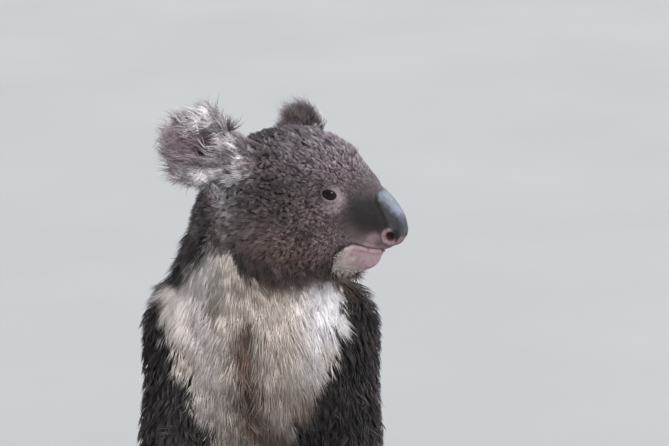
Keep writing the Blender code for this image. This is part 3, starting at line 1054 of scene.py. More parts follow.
    def mottle(self) -> Array:
        """The pale flecks of the rump.

        Returns:
            A number for each vertex.
        """
        x, y, z = self.body.T
        rump = Place.RUMP.on(np.stack((np.abs(x), y, z), 1))
        mottle = smoothstep(0.1, 0.9, waves(self.points, 0.016, 41)) * smoothstep(0.2, 0.6, rump)
        return mottle * self.limbs()

    def limbs(self) -> Array:
        """Everything but the head and the ears."""
        return self.share(Region.TRUNK, Region.ARM, Region.LEG, Region.PAW, Region.NECK)

    def chin_marks(self) -> tuple[Array, Array]:
        """The cream chin below the mouth and its bare pink front.

        Returns:
            Two numbers for each vertex.
        """
        x, z = self.head[:, 0], self.head[:, 2]
        back = 0.0345 + 1.15 * np.maximum(z + 0.0457, -0.0128) + 0.0015 * waves(self.points, 0.006, 11)
        chin = smoothstep(-0.002, 0.001, x - back) * self.below * self.on_head
        chin *= smoothstep(0.037, 0.029, self.half[:, 1] - 0.3 * (x - 0.035))
        cream = 0.0030 * waves(self.points, 0.010, 25) + 0.45 * np.clip(-0.048 - z, 0.0, 0.02)
        pink = chin * smoothstep(0.037, 0.045, x + cream + 0.0005)
        pink *= smoothstep(-0.0630, -0.0585, z + 0.30 * (x - 0.050))
        return chin, pink

    def nose_marks(self) -> tuple[Array, Array]:
        """The leather of the nose and the pink upper lip beside it.

        Returns:
            Two numbers for each vertex.
        """
        x, z = self.head[:, 0], self.head[:, 2]
        leather = smoothstep(-0.0006, 0.0006, FACE.leather_edge(self.head)) * self.on_head
        top = np.interp(x, self.lip_x, self.lip_z)
        lip = smoothstep(0.0035, -0.0030, z - top) * (1 - self.below) * self.on_head * (x > 0.046)
        lip *= (1 - leather) * smoothstep(0.047, 0.060, x + 0.004 * waves(self.points, 0.004, 13))
        return leather, lip

    def nostril_marks(self) -> tuple[Array, Array]:
        """The pink rims of the nostrils and of the nose's lower edge, and the nostrils themselves.

        Returns:
            Two numbers for each vertex.
        """
        x, z = self.head[:, 0], self.head[:, 2]
        hole = FACE.nostrils(self.head)
        rim = smoothstep(0.05, 0.2, hole) * smoothstep(0.0800, 0.0755, x)
        keel = np.interp(x, self.keel_x, self.keel_z)
        keel = smoothstep(0.0006, -0.0008, z - keel) * (x > 0.066) * self.on_head
        rim = np.maximum(rim, 0.8 * keel)
        under = smoothstep(-0.0375, -0.0395, z) * smoothstep(0.058, 0.062, x) * (1 - self.below)
        return np.maximum(rim, 0.8 * under * self.on_head), hole

    def painted_ridge_sheen(self, leather: Array) -> Array:
        """Painted sheen: a light band down the nose's leather, standing in for the sky's reflection on its
        ridge.

        Args:
            leather: Where the leather is.

        Returns:
            A number for each vertex.
        """
        z = self.head[:, 2]
        wide = np.interp(z, self.sheen_band_z, self.sheen_band_y)
        aside = self.half[:, 1] + 0.0014 * waves(self.points, 0.006, 24)
        painted_ridge_sheen = smoothstep(wide + 0.002, wide - 0.005, aside)
        painted_ridge_sheen *= leather * (0.30 + 0.70 * smoothstep(-0.019, -0.007, z))
        return painted_ridge_sheen * smoothstep(-0.034, -0.022, z)

    def mouth_line(self) -> Array:
        """The dark line of the mouth and the shadow beside each nostril.

        Returns:
            A number for each vertex.
        """
        x, z = self.head[:, 0], self.head[:, 2]
        groove = bump(z, self.mouth, 0.0010) * self.on_head * smoothstep(0.020, 0.032, x)
        groove *= smoothstep(0.070, 0.060, x) * 0.45
        return np.maximum(groove, 0.60 * self.near(Place.NOSTRIL_SIDE))

    def tawny(self, inside: Array, pale: Array, cleft: Array) -> Array:
        """The brown of the bib's streaks, the throat and the cheeks; on the lower bib and in the bib's folds
        it is partly painted shade.

        Args:
            inside: How far inside the bib's edge each vertex is.
            pale: How pale the bib is.
            cleft: The bib's parting.

        Returns:
            How tawny each vertex is.
        """
        x, _, z = self.body.T
        # the lower bib: partly a tawny stain and partly painted shade, where less light reaches it
        low_stain_and_shade = smoothstep(0.345, 0.265, z) * (0.52 + 0.46 * smoothstep(-0.01, 0.02, x))
        tan = smoothstep(-0.035, 0.0, x) * bump(z, 0.385, 0.014) * (0.8 + 0.4 * waves(self.points, 0.012, 23))
        streaks = (
            # the parting and the second cleft: brown that is partly painted shade in their folds
            0.75 * cleft,
            0.8 * bump(x, -0.039, 0.008) * smoothstep(0.285, 0.262, z),
            0.85 * bump(x, -0.035, 0.0055) * bump(z, 0.364, 0.014),
            0.26 * bump(x, 0.008, 0.018) * smoothstep(0.28, 0.31, z),
            low_stain_and_shade * (0.8 + 0.4 * waves(self.points, 0.03, 21)),
            0.60 * tan,
        )
        streak = np.maximum.reduce(streaks) * self.front * self.trunk * smoothstep(-0.010, 0.006, inside)
        throat = 0.80 * Place.THROAT.on(self.head) * (1 - self.chin) * (1 - pale)
        return np.maximum(np.maximum(streak, throat), 0.70 * self.near(Place.CHEEK))

    def dark(self, cleft: Array, rims: Array) -> Array:
        """The darkest hair: body, nape, crown, muzzle, the mouth's corners and the temples. At the mouth's
        corners and along the mouth it is painted shadow of the jowl's fold, and on the body it is partly
        painted shade.

        Args:
            cleft: The bib's parting.
            rims: The bare rims round the eyes.

        Returns:
            How dark each vertex is.
        """
        head, half, on_head = self.head, self.half, self.on_head
        rear = smoothstep(0.02, 0.08, self.body[:, 1]) * self.trunk
        # the body's dark, less towards the greyer back; its depth is partly painted shade, matched to the
        # shaded flanks
        dark = self.limbs() * (0.88 - 0.30 * rear + 0.10 * waves(self.points, 0.05, 8))
        # painted shade: the bib's parting is made dark, as the shadow in its fold
        dark = np.maximum(dark, cleft * self.front * self.trunk)
        nape = smoothstep(-0.066, -0.080, head[:, 0]) * smoothstep(0.020, 0.0, head[:, 2]) * on_head
        dark = np.maximum.reduce((dark, 0.75 * nape, 0.62 * (Place.CROWN.on(half) * on_head)))
        dark = np.maximum(dark, 0.96 * smoothstep(0.05, 0.85, Place.MUZZLE.on(half)) * on_head)
        # painted shadow: the hair darkened in the fold at each mouth corner and along the mouth's line
        dark = np.maximum(dark, 0.85 * Place.MOUTH_CORNER.on(half) * (1 - self.chin))
        mouth_shadow_line = bump(head[:, 2] - self.mouth, -0.0003, 0.0020) * smoothstep(0.018, 0.026, head[:, 0])
        dark = np.maximum(dark, 0.97 * mouth_shadow_line * smoothstep(0.047, 0.040, head[:, 0]) * on_head)
        dark *= 1 - 0.9 * rims
        dark *= 1 - 0.8 * self.patch
        temple, upper = 0.55 * Place.TEMPLE.on(half) * on_head, 0.42 * Place.UPPER_SIDE.on(half) * on_head
        return np.maximum.reduce((dark, temple, upper))

    def lid_marks(self) -> tuple[Array, Array]:
        """The pale bare skin round the eyes, widest in front and below, and the lids' dark edge.

        Returns:
            Two numbers for each vertex.
        """
        head = self.head
        rims, margin = np.zeros(len(head)), np.zeros(len(head))
        for side in SIDES.values():
            away, out, edge = FACE.eye_places(head, side)
            near = (out > 0) & (away < 0.03)
            ahead = (head[:, 0] - HEAD.eye[0]) * 0.75 - (head[:, 2] - HEAD.eye[2]) * 0.65
            limit = 0.0022 + 0.0055 * smoothstep(0.0, 0.010, ahead - 0.0030)
            rims = np.maximum(rims, near * smoothstep(limit + 0.002, limit - 0.001, edge))
            margin = np.maximum(margin, near * smoothstep(0.0007, 0.0002, edge))
        return rims, margin

    def ear_marks(self) -> tuple[Array, Array, Array]:
        """The bare inside of the ears, their white locks and their grizzled fringe.

        Returns:
            Three numbers for each vertex.
        """
        points = self.points
        concha, white, fringe = (np.zeros(len(points)) for _ in range(3))
        for ear in EARS.values():
            ahead, out, up, ratio, facing = ear.places(self.head, self.facing)
            same_side = self.head[:, 1] * ear.side > 0
            on = self.share(Region.EAR) * (np.abs(ahead) < 0.03) * (ratio < 1.7) * same_side
            opened = smoothstep(0.05, 0.45, facing) * on
            y, z = out / ear.radius, up / ear.radius
            uneven = 0.12 * waves(points, 0.012, 31)
            edges = np.maximum(np.abs(z + 0.06) * np.where(z > -0.06, 1.15, 1.30), -y * 1.2 - 0.02) + uneven
            locks = smoothstep(0.36, 0.66, edges) * opened
            grizzled = smoothstep(-0.5, 0.3, waves(points, 0.007, 32) + 1.2 * np.abs(z) - 0.9 + 0.4 * (z < 0))
            inner = np.where(z > 0, smoothstep(1.0, 0.3, y), smoothstep(0.60, -0.05, y))
            white = np.maximum(white, locks * grizzled * inner)
            fringe = np.maximum(fringe, locks * 0.6)
            concha = np.maximum(concha, opened * smoothstep(0.95, 0.60, ratio + 1.5 * uneven) * (1 - locks))
            fringe = np.maximum(fringe, on * smoothstep(0.6, 0.9, ratio) * smoothstep(-0.9, -0.1, y))
        return concha, white, fringe


# ---- finishes
class Graph:
    """A material's nodes, made and linked by short calls."""

    MIX_INPUTS = (0, 6, 7)
    MIX_OUTPUT = 2

    def __init__(self, name: str) -> None:
        """Starts a material with an output and a Principled shader.

        Args:
            name: The material's name.
        """
        self.material = bpy.data.materials.new(name)
        self.material.use_nodes = True
        self.tree = self.material.node_tree
        self.tree.nodes.clear()
        self.shader = self.tree.nodes.new("ShaderNodeBsdfPrincipled")
        output = self.tree.nodes.new("ShaderNodeOutputMaterial")
        self.tree.links.new(self.shader.outputs[0], output.inputs["Surface"])
        self.places = self.node("ShaderNodeTexCoord").outputs["Object"]

    def node(self, kind: str, **settings: str) -> Node:
        """Adds a node.

        Args:
            kind: The node's type.
            settings: Its properties.

        Returns:
            The node.
        """
        made = self.tree.nodes.new(kind)
        for name, value in settings.items():
            setattr(made, name, value)
        return made

    def put(self, socket: NodeSocket, value: Fed) -> None:
        """Links or sets a socket.

        Args:
            socket: The socket.
            value: Another socket to link, or a number, a colour or a vector to set.
        """
        if isinstance(value, NodeSocket):
            self.tree.links.new(value, socket)
        elif isinstance(value, tuple) and len(value) == 3 and socket.type == "RGBA":
            socket.default_value = (*value, 1.0)
        else:
            socket.default_value = value

    def attribute(self, name: str) -> NodeSocket:
        """Reads a number stored on the vertices."""
        return self.node("ShaderNodeAttribute", attribute_name=name).outputs["Fac"]

    def feed(self, made: Node, **sockets: Fed) -> Node:
        """Puts values into a node's named sockets.

        Args:
            made: The node.
            sockets: The values; an underscore in a name stands for a blank.

        Returns:
            The same node.
        """
        for name, value in sockets.items():
            self.put(made.inputs[name.replace("_", " ")], value)
        return made

    def set(self, **sockets: Fed) -> None:
        """Puts values into sockets of the shader."""
        self.feed(self.shader, **sockets)

    def math(self, operation: str, *values: Fed) -> NodeSocket:
        """One step of arithmetic.

        Args:
            operation: What is done.
            values: What it is done to, in order.

        Returns:
            The result's socket.
        """
        made = self.node("ShaderNodeMath", operation=operation)
        for socket, value in zip(made.inputs, values):
            self.put(socket, value)
        return made.outputs[0]

    def vector(self, operation: str, first: Fed, second: Fed | None = None) -> Node:
        """One step of arithmetic on vectors.

        Args:
            operation: What is done.
            first: A vector.
            second: Another one, where the operation takes two.

        Returns:
            The step's node.
        """
        made = self.node("ShaderNodeVectorMath", operation=operation)
        self.put(made.inputs[0], first)
        if second is not None:
            self.put(made.inputs[1], second)
        return made

    def mix(self, factor: Fed, first: Fed, second: Fed) -> NodeSocket:
        """One colour turning into another.

        Args:
            factor: How much of the second.
            first: The colour at 0.
            second: The colour at 1.

        Returns:
            The colour's socket.
        """
        made = self.node("ShaderNodeMix", data_type="RGBA")
        for index, value in zip(self.MIX_INPUTS, (factor, first, second)):
            self.put(made.inputs[index], value)
        return made.outputs[self.MIX_OUTPUT]

    def scaled(self, colour: Fed, factor: Fed) -> NodeSocket:
        """A colour made brighter or darker."""
        return self.feed(self.vector("SCALE", colour), Scale=factor).outputs[0]

    def noise(self, scale: float, detail: float = 2.0, rough: float = 0.5) -> NodeSocket:
        """Soft noise on the object's own places.

        Args:
            scale: How fine it is.
            detail: How many finer layers it has.
            rough: How strong they are.

        Returns:
            The noise's socket.
        """
        made = self.node("ShaderNodeTexNoise")
        self.feed(made, Vector=self.places, Scale=scale, Detail=detail, Roughness=rough)
        return made.outputs[0]

    def cells(self, scale: float) -> NodeSocket:
        """How far each place is from the middle of a cell."""
        made = self.node("ShaderNodeTexVoronoi")
        return self.feed(made, Vector=self.places, Scale=scale).outputs[0]

    def bumped(self, height: Fed, strength: float, distance: float) -> None:
        """Gives the shader a fine relief.

        Args:
            height: The relief's height, from 0 to 1.
            strength: How much of it shows.
            distance: Its depth in metres.
        """
        made = self.node("ShaderNodeBump")
        self.feed(made, Strength=strength, Distance=distance, Height=height)
        self.set(Normal=made.outputs[0])

    def ranged(self, value: Fed, low: float, high: float, first: Fed, last: Fed) -> NodeSocket:
        """A number carried from one range to another, and held inside it.

        Args:
            value: The number.
            low: The lower end that it comes from.
            high: The upper end that it comes from.
            first: What the lower end turns into.
            last: What the upper end turns into.

        Returns:
            The number's socket.
        """
        made = self.node("ShaderNodeMapRange")
        for socket, number in zip(made.inputs, (value, low, high, first, last)):
            self.put(socket, number)
        return made.outputs[0]


@dataclass(frozen=True)
class CoatColours:
    """The colours of the coat, as light that it returns."""

    grey: tuple = (0.145, 0.108, 0.111)
    # light: the lighter hair of the eye patch and the ear fringe; on the brow it is painted light, its lilac
    # tint standing in for skylight
    light: tuple = (0.270, 0.222, 0.248)
    # dark: the coat's own dark grey-brown, made darker still as painted shade to match the shaded flanks
    dark: tuple = (0.0122, 0.0092, 0.0095)
    tawny: tuple = (0.160, 0.100, 0.072)
    pale: tuple = (0.800, 0.710, 0.645)
    pink: tuple = (0.290, 0.200, 0.222)
    white: tuple = (0.900, 0.865, 0.900)
    concha: tuple = (0.165, 0.084, 0.104)

    def over(self, graph: Graph) -> NodeSocket:
        """The markings, the same on the skin and in the coat.

        Args:
            graph: The material that they are drawn in.

        Returns:
            The colour's socket.
        """
        colour = self.grey
        for mark in ("light", "dark", "concha", "pale", "white", "tawny", "pink"):
            colour = graph.mix(graph.attribute(mark), colour, getattr(self, mark))
        return colour


@dataclass(frozen=True)
class CoatFinish:
    """Hair: dull, lighter towards its tips, uneven from lock to lock; the dark at the roots is partly its own
    colour and partly painted shade deep in the coat.
    """

    name: str = "coat"
    # darker roots, lighter tips: partly the hair's own colour and partly painted shade among the hairs
    along: tuple = (0.18, 1.70)
    along_pale: tuple = (0.74, 1.10)
    tone: tuple = (0.32, 1.78)
    tone_pale: tuple = (0.80, 1.20)
    # painted light: how much brighter hair is where it is both pale and white, mostly on the bib's lobes
    painted_light_gain: float = 1.10
    roughness: float = 0.62
    specular: float = 0.28
    sheen: float = 0.08
    sheen_roughness: float = 0.5

    def softened(
        self, graph: Graph, value: NodeSocket, full: tuple, gentle: tuple, share: NodeSocket
    ) -> NodeSocket:
        """Carries a number from 0 to 1 to a full range, or to a gentler one.

        Args:
            graph: The material's nodes.
            value: The number.
            full: The range where the share is 0.
            gentle: The range where the share is 1.
            share: How gentle the range is.

        Returns:
            The number's socket in its new range.
        """
        low = graph.ranged(share, 0.0, 1.0, full[0], gentle[0])
        high = graph.ranged(share, 0.0, 1.0, full[1], gentle[1])
        return graph.ranged(value, 0.0, 1.0, low, high)

    def material(self) -> Material:
        """Makes the material of every tuft.

        Returns:
            The material.
        """
        graph = Graph(self.name)
        colour = CoatColours().over(graph)
        soft = graph.attribute("pale")
        along = self.softened(graph, graph.attribute("along"), self.along, self.along_pale, soft)
        tone = self.softened(graph, graph.attribute("tone"), self.tone, self.tone_pale, soft)
        patch = graph.ranged(graph.noise(45.0), 0.3, 0.7, 0.85, 1.15)
        factor = graph.math("MULTIPLY", graph.math("MULTIPLY", along, tone), patch)
        # painted light: the white bib hair is brightened further
        lit = graph.math("MULTIPLY", soft, graph.attribute("white"))
        factor = graph.math("MULTIPLY", factor, graph.ranged(lit, 0.0, 1.0, 1.0, self.painted_light_gain))
        graph.set(Base_Color=graph.scaled(colour, factor), Roughness=self.roughness)
        graph.set(Specular_IOR_Level=self.specular)
        graph.set(Sheen_Weight=self.sheen, Sheen_Roughness=self.sheen_roughness)
        return graph.material


@dataclass(frozen=True)
class SkinFinish:
    """The skin under the coat, bare at the lids and lips, leathery on the nose; darkened under the hair as
    painted shade, with a painted sheen on the nose's ridge.
    """

    leather: tuple = (0.014, 0.011, 0.014)
    # painted sheen: the light bluish colour of the leather's ridge stands in for the sky's reflection
    painted_ridge_sheen: tuple = (0.094, 0.100, 0.130)
    rim: tuple = (0.034, 0.015, 0.015)
    under_coat_shade: float = 0.36
    roughness: float = 0.70
    leather_roughness: float = 0.33
    specular: float = 0.30

    def material(self) -> Material:
        """Makes the skin's material.

        Returns:
            The material.
        """
        graph = Graph("skin")
        colour = CoatColours().over(graph)
        mottle = graph.ranged(graph.noise(260.0, 4.0, 0.6), 0.25, 0.75, 0.75, 1.2)
        # painted shade: the skin is darkened where the coat covers it, as the shade deep among the hairs
        shade = graph.ranged(graph.attribute("cover"), 0.0, 1.0, 1.0, self.under_coat_shade)
        colour = graph.scaled(colour, graph.math("MULTIPLY", mottle, shade))
        leather = graph.attribute("leather")
        spots = graph.ranged(graph.noise(420.0, 5.0, 0.65), 0.3, 0.7, 0.62, 1.38)
        # painted sheen: the leather turns to the sheen colour where the light mark lies on it
        hide = graph.mix(graph.attribute("light"), self.leather, self.painted_ridge_sheen)
        colour = graph.mix(leather, colour, graph.scaled(hide, spots))
        dots = graph.ranged(graph.cells(130.0), 0.10, 0.20, 0.55, 0.0)
        freckles = graph.math("MULTIPLY", dots, graph.attribute("pink"))
        colour = graph.mix(freckles, colour, self.rim)
        # the margin colour: the dark edges of the lids and the mouth, and painted shade in and beside the
        # nostrils
        colour = graph.mix(graph.attribute("margin"), colour, self.rim)
        rough = graph.ranged(leather, 0.0, 1.0, self.roughness, self.leather_roughness)
        graph.set(Base_Color=colour, Roughness=rough, Specular_IOR_Level=self.specular)
        grain = graph.math("MULTIPLY", graph.cells(1100.0), leather)
        graph.bumped(graph.math("ADD", grain, graph.noise(2200.0)), 0.35, 0.0006)
        return graph.material


@dataclass(frozen=True)
class EyeFinish:
    """A wet dark brown eye with a round pupil."""

    middle: tuple
    axis: tuple
    iris: tuple = (0.006, 0.003, 0.002)
    ring: tuple = (0.005, 0.003, 0.003)
    pupil: tuple = (0.001, 0.001, 0.001)
    white: tuple = (0.16, 0.11, 0.10)
    pupil_edge: tuple = (0.27, 0.31)
    ring_edge: tuple = (0.50, 0.60)
    white_edge: tuple = (0.78, 0.90)
    roughness: float = 0.35
    wet_roughness: float = 0.02
    wet_ior: float = 1.34

    def material(self, name: str) -> Material:
        """Makes one eye's material.

        Args:
            name: The material's name.

        Returns:
            A material whose rings are centred on the eye's axis.
        """
        graph = Graph(name)
        away = graph.vector("SUBTRACT", graph.places, self.middle).outputs[0]
        ahead = graph.vector("NORMALIZE", away).outputs[0]
        turned = graph.vector("DOT_PRODUCT", ahead, self.axis).outputs["Value"]
        angle = graph.math("ARCCOSINE", turned)
        streaks = graph.ranged(graph.noise(900.0, 3.0), 0.3, 0.7, 0.6, 1.5)
        colour = graph.scaled(self.iris, streaks)
        colour = graph.mix(graph.ranged(angle, *self.ring_edge, 0.0, 1.0), colour, self.ring)
        colour = graph.mix(graph.ranged(angle, *self.pupil_edge, 1.0, 0.0), colour, self.pupil)
        colour = graph.mix(graph.ranged(angle, *self.white_edge, 0.0, 1.0), colour, self.white)
        graph.set(Base_Color=colour, Roughness=self.roughness, Specular_IOR_Level=0.0)
        graph.set(Coat_Weight=1.0, Coat_Roughness=self.wet_roughness, Coat_IOR=self.wet_ior)
        return graph.material


@dataclass(frozen=True)
class ClawFinish:
    """Dark horn, unevenly paler in a fine grain."""

    dark: tuple = (0.040, 0.031, 0.027)
    pale: tuple = (0.120, 0.095, 0.078)

    def material(self) -> Material:
        """Makes the claws' material.

        Returns:
            The material.
        """
        graph = Graph("claw_horn")
        grain = graph.noise(420.0, 4.0, 0.65)
        colour = graph.mix(graph.ranged(grain, 0.3, 0.7, 0.0, 1.0), self.dark, self.pale)
        graph.set(Base_Color=colour, Roughness=graph.ranged(grain, 0.3, 0.7, 0.32, 0.50))
        graph.bumped(grain, 0.3, 0.0003)
        return graph.material


# ---- the coat
SIDES_OF_TUFT = 3
RING_WIDTHS = (1.0, 0.92, 0.6)
TUFT_HIGH = 0.7
BURIED = 0.0004
PATCH = 0.003
MAP_EDGE = 0.004


@dataclass
class Tufts:
    """Many tufts as arrays: where each starts, how it lies, and how long and wide it is."""

    roots: Array
    normals: Array
    flow: Array
    length: Array
    width: Array
    lift: Array
    curl: Array
    tone: Array
    marks: dict[str, Array]
    places: Array
    rings: int = 2

    def spines(self) -> list[Array]:
        """The middle of every ring and the tip, root first.

        Returns:
            An array of places for each ring and one for the tips.
        """
        out = [self.roots - self.normals * BURIED]
        side = np.cross(self.normals, self.flow)
        for step in range(1, self.rings + 1):
            t = step / self.rings
            rise = np.sin(self.lift) * (t - 0.35 * t * t)
            run = np.cos(self.lift) * t + 0.12 * t * t
            swing = self.curl * math.sin(1.9 * math.pi * t + 0.3)
            reach = self.normals * rise[:, None] + self.flow * run[:, None] + side * swing[:, None]
            out.append(self.roots + self.length[:, None] * reach)
        return out

    def faces(self) -> tuple[Array, Array]:
        """The faces of one tuft.

        Returns:
            The vertex at every corner, face after face, and how many corners each face has.
        """
        around, last = range(SIDES_OF_TUFT), (self.rings - 1) * SIDES_OF_TUFT
        quads = []
        for start in range(0, last, SIDES_OF_TUFT):
            for k in around:
                a, b = start + k, start + (k + 1) % SIDES_OF_TUFT
                quads.append((a, b, b + SIDES_OF_TUFT, a + SIDES_OF_TUFT))
        tip = last + SIDES_OF_TUFT
        tips = [(last + k, last + (k + 1) % SIDES_OF_TUFT, tip) for k in around]
        pattern = np.array([corner for face in quads + tips for corner in face])
        return pattern, np.array([len(face) for face in quads + tips])

    def vertices(self, pull: Array) -> Array:
        """Every tuft's vertices, with no tuft below the floor.

        Args:
            pull: How each tuft's tip moves to meet its neighbours.

        Returns:
            An array of tufts by vertices by coordinates.
        """
        spines = self.spines()
        for step in range(1, self.rings + 1):
            spines[step] = spines[step] + pull * (step / self.rings) ** 1.3
        for spine in spines:
            spine[:, 2] = np.maximum(spine[:, 2], self.width * 0.6)
        side = unit(np.cross(self.normals, self.flow))
        points = np.empty((len(self.roots), self.rings * SIDES_OF_TUFT + 1, 3))
        for ring in range(self.rings):
            half = (self.width * 0.5 * RING_WIDTHS[ring])[:, None]
            first = ring * SIDES_OF_TUFT
            points[:, first] = spines[ring] + side * half
            points[:, first + 1] = spines[ring] + self.normals * half * TUFT_HIGH
            points[:, first + 2] = spines[ring] - side * half
        points[:, -1] = spines[-1]
        return points

    def mesh(self, name: str, pull: Array) -> Mesh:
        """One mesh of all the tufts.

        Args:
            name: The mesh's name.
            pull: How each tuft's tip moves to meet its neighbours.

        Returns:
            A mesh with the marks, the place along each tuft, its tone and its map.
        """
        points = self.vertices(pull)
        number, per = points.shape[:2]
        pattern, sizes = self.faces()
        corners = (np.arange(number)[:, None] * per + pattern[None, :]).ravel()
        totals = np.tile(sizes, number)
        starts = np.concatenate(([0], np.cumsum(totals)[:-1]))
        mesh = bpy.data.meshes.new(name)
        mesh.vertices.add(number * per)
        mesh.vertices.foreach_set("co", points.ravel())
        mesh.loops.add(len(corners))
        mesh.loops.foreach_set("vertex_index", corners.astype(np.int32))
        mesh.polygons.add(len(totals))
        mesh.polygons.foreach_set("loop_start", starts.astype(np.int32))
        shade_smooth(mesh)
        mesh.update(calc_edges=True)
        along = np.append(np.repeat(np.arange(self.rings) / self.rings, SIDES_OF_TUFT), 1.0)
        store_attribute(mesh, "along", np.tile(along, number))
        store_attribute(mesh, "tone", np.repeat(self.tone, per))
        for mark, values in self.marks.items():
            store_attribute(mesh, mark, np.repeat(values, per))
        self.add_map(mesh, along, corners, per)
        return mesh

    def add_map(self, mesh: Mesh, along: Array, corners: Array, per: int) -> None:
        """Gives every tuft a small patch of the map at its root's place.

        Args:
            mesh: The mesh of all the tufts.
            along: How far along a tuft each of its vertices is.
            corners: The vertex at each corner.
            per: Vertices in a tuft.
        """
        sideways = np.array([(0.0, 0.5, 1.0)[i % SIDES_OF_TUFT] for i in range(per - 1)] + [0.5])
        place = spread(self.places)
        u = place[:, :1] + PATCH * (sideways[None, :] - 0.5) * (1 - 0.6 * along[None, :])
        v = place[:, 1:] + PATCH * (along[None, :] - 0.5)
        both = np.stack((u, v), 2).reshape(-1, 2)
        layer = mesh.uv_layers.new(name="OFBake")
        layer.data.foreach_set("uv", both[corners].astype(np.float32).ravel())


def spread(places: Array) -> Array:
    """Evens out places on the unwrapped skin so that their patches don't share room.

    Args:
        places: A place for each tuft on the unwrapped skin.

    Returns:
        The places in the same order across and up, evenly spaced over the unit square.
    """
    count = len(places)
    columns = max(1, int(math.sqrt(count)))
    order = np.argsort(places[:, 0], kind="stable")
    column = np.empty(count, int)
    column[order] = np.arange(count) * columns // count
    out = np.empty((count, 2))
    out[:, 0] = (column + 0.5) / columns
    for index in range(columns):
        mine = np.flatnonzero(column == index)
        mine = mine[np.argsort(places[mine, 1], kind="stable")]
        out[mine, 1] = (np.arange(len(mine)) + 0.5) / len(mine)
    return MAP_EDGE + (1 - 2 * MAP_EDGE) * out


@dataclass
class CoatPiece:
    """One piece of the coat: which part of the skin it grows on and how many tufts it has."""

    name: str
    slot: str
    chance: Array
    tufts: int
    rings: int = 2
    clump: float = 0.0045
    gather: float = 0.55
    uneven: float = 0.0


@dataclass(frozen=True)
class Limb:
    """The line of a left limb over three joints, and the axis along which it passes the middle one."""

    region: Region
    joints: tuple
    axis: int

    def ways(self, points: Array, side: float) -> Array:
        """Which way the limb runs.

        Args:
            points: Points of the model.
            side: 1 for the left limb and -1 for the right one.

        Returns:
            A direction for each point.
        """
        chain = HEAD.shift() + np.array(self.joints) * (side, 1.0, 1.0)
        split = smoothstep(0.02, -0.02, points[:, self.axis] - chain[1, self.axis])[:, None]
        upper, lower = unit(np.diff(chain, axis=0))
        return (1 - split) * upper + split * lower


LIMBS = (
    Limb(Region.ARM, ((0.066, 0.010, 0.318), (0.083, -0.086, 0.200), (0.062, -0.15, 0.02)), 2),
    Limb(Region.LEG, ((0.066, 0.054, 0.068), (0.148, -0.05, 0.11), (0.160, -0.14, 0.02)), 1),
)


@dataclass
class Roots:
    """Where tufts start: a triangle of the skin for each, and its place inside it."""

    tris: Array
    shares: Array

    def at(self, values: Array) -> Array:
        """Values of the skin's vertices at the roots.

        Args:
            values: One number or one row for each vertex.

        Returns:
            The same for each root.
        """
        if values.ndim == 1:
            return (values[self.tris] * self.shares).sum(1)
        return (values[self.tris] * self.shares[:, :, None]).sum(1)


@dataclass
class Clumps:
    """Tufts that stand together: how many clumps there are, and the clump of each tuft."""

    count: int
    mine: Array

    @classmethod
    def around(cls, roots: Array, centres: Array) -> Clumps:
        """Sorts tufts into clumps.

        Args:
            roots: Where the tufts start.
            centres: The tufts in the middle of the clumps.

        Returns:
            The clumps, with each tuft in the nearest one.
        """
        tree = KDTree(len(centres))
        for index, centre in enumerate(centres):
            tree.insert(roots[centre], index)
        tree.balance()
        return cls(len(centres), np.array([tree.find(root)[1] for root in roots]))

    def normal(self, rng: np.random.Generator) -> Array:
        """A normal random number for each clump, the same for all of its tufts."""
        return rng.normal(0, 1, self.count)[self.mine]

    def pull(self, tips: Array, length: Array, gather: float) -> Array:
        """How far each tip moves towards the middle of its clump's tips.

        Args:
            tips: Where the tufts end.
            length: How long they are.
            gather: The share of the way that they move.

        Returns:
            A move for each tip, held to a share of its tuft's length.
        """
        middle = np.stack([np.bincount(self.mine, tips[:, i], self.count) for i in range(3)], 1)
        middle /= np.maximum(np.bincount(self.mine, minlength=self.count), 1)[:, None]
        pull = (middle[self.mine] - tips) * gather
        reach = np.linalg.norm(pull, axis=1, keepdims=True)
        return pull * np.minimum(1.0, 0.6 * length[:, None] / np.maximum(reach, 1e-9))


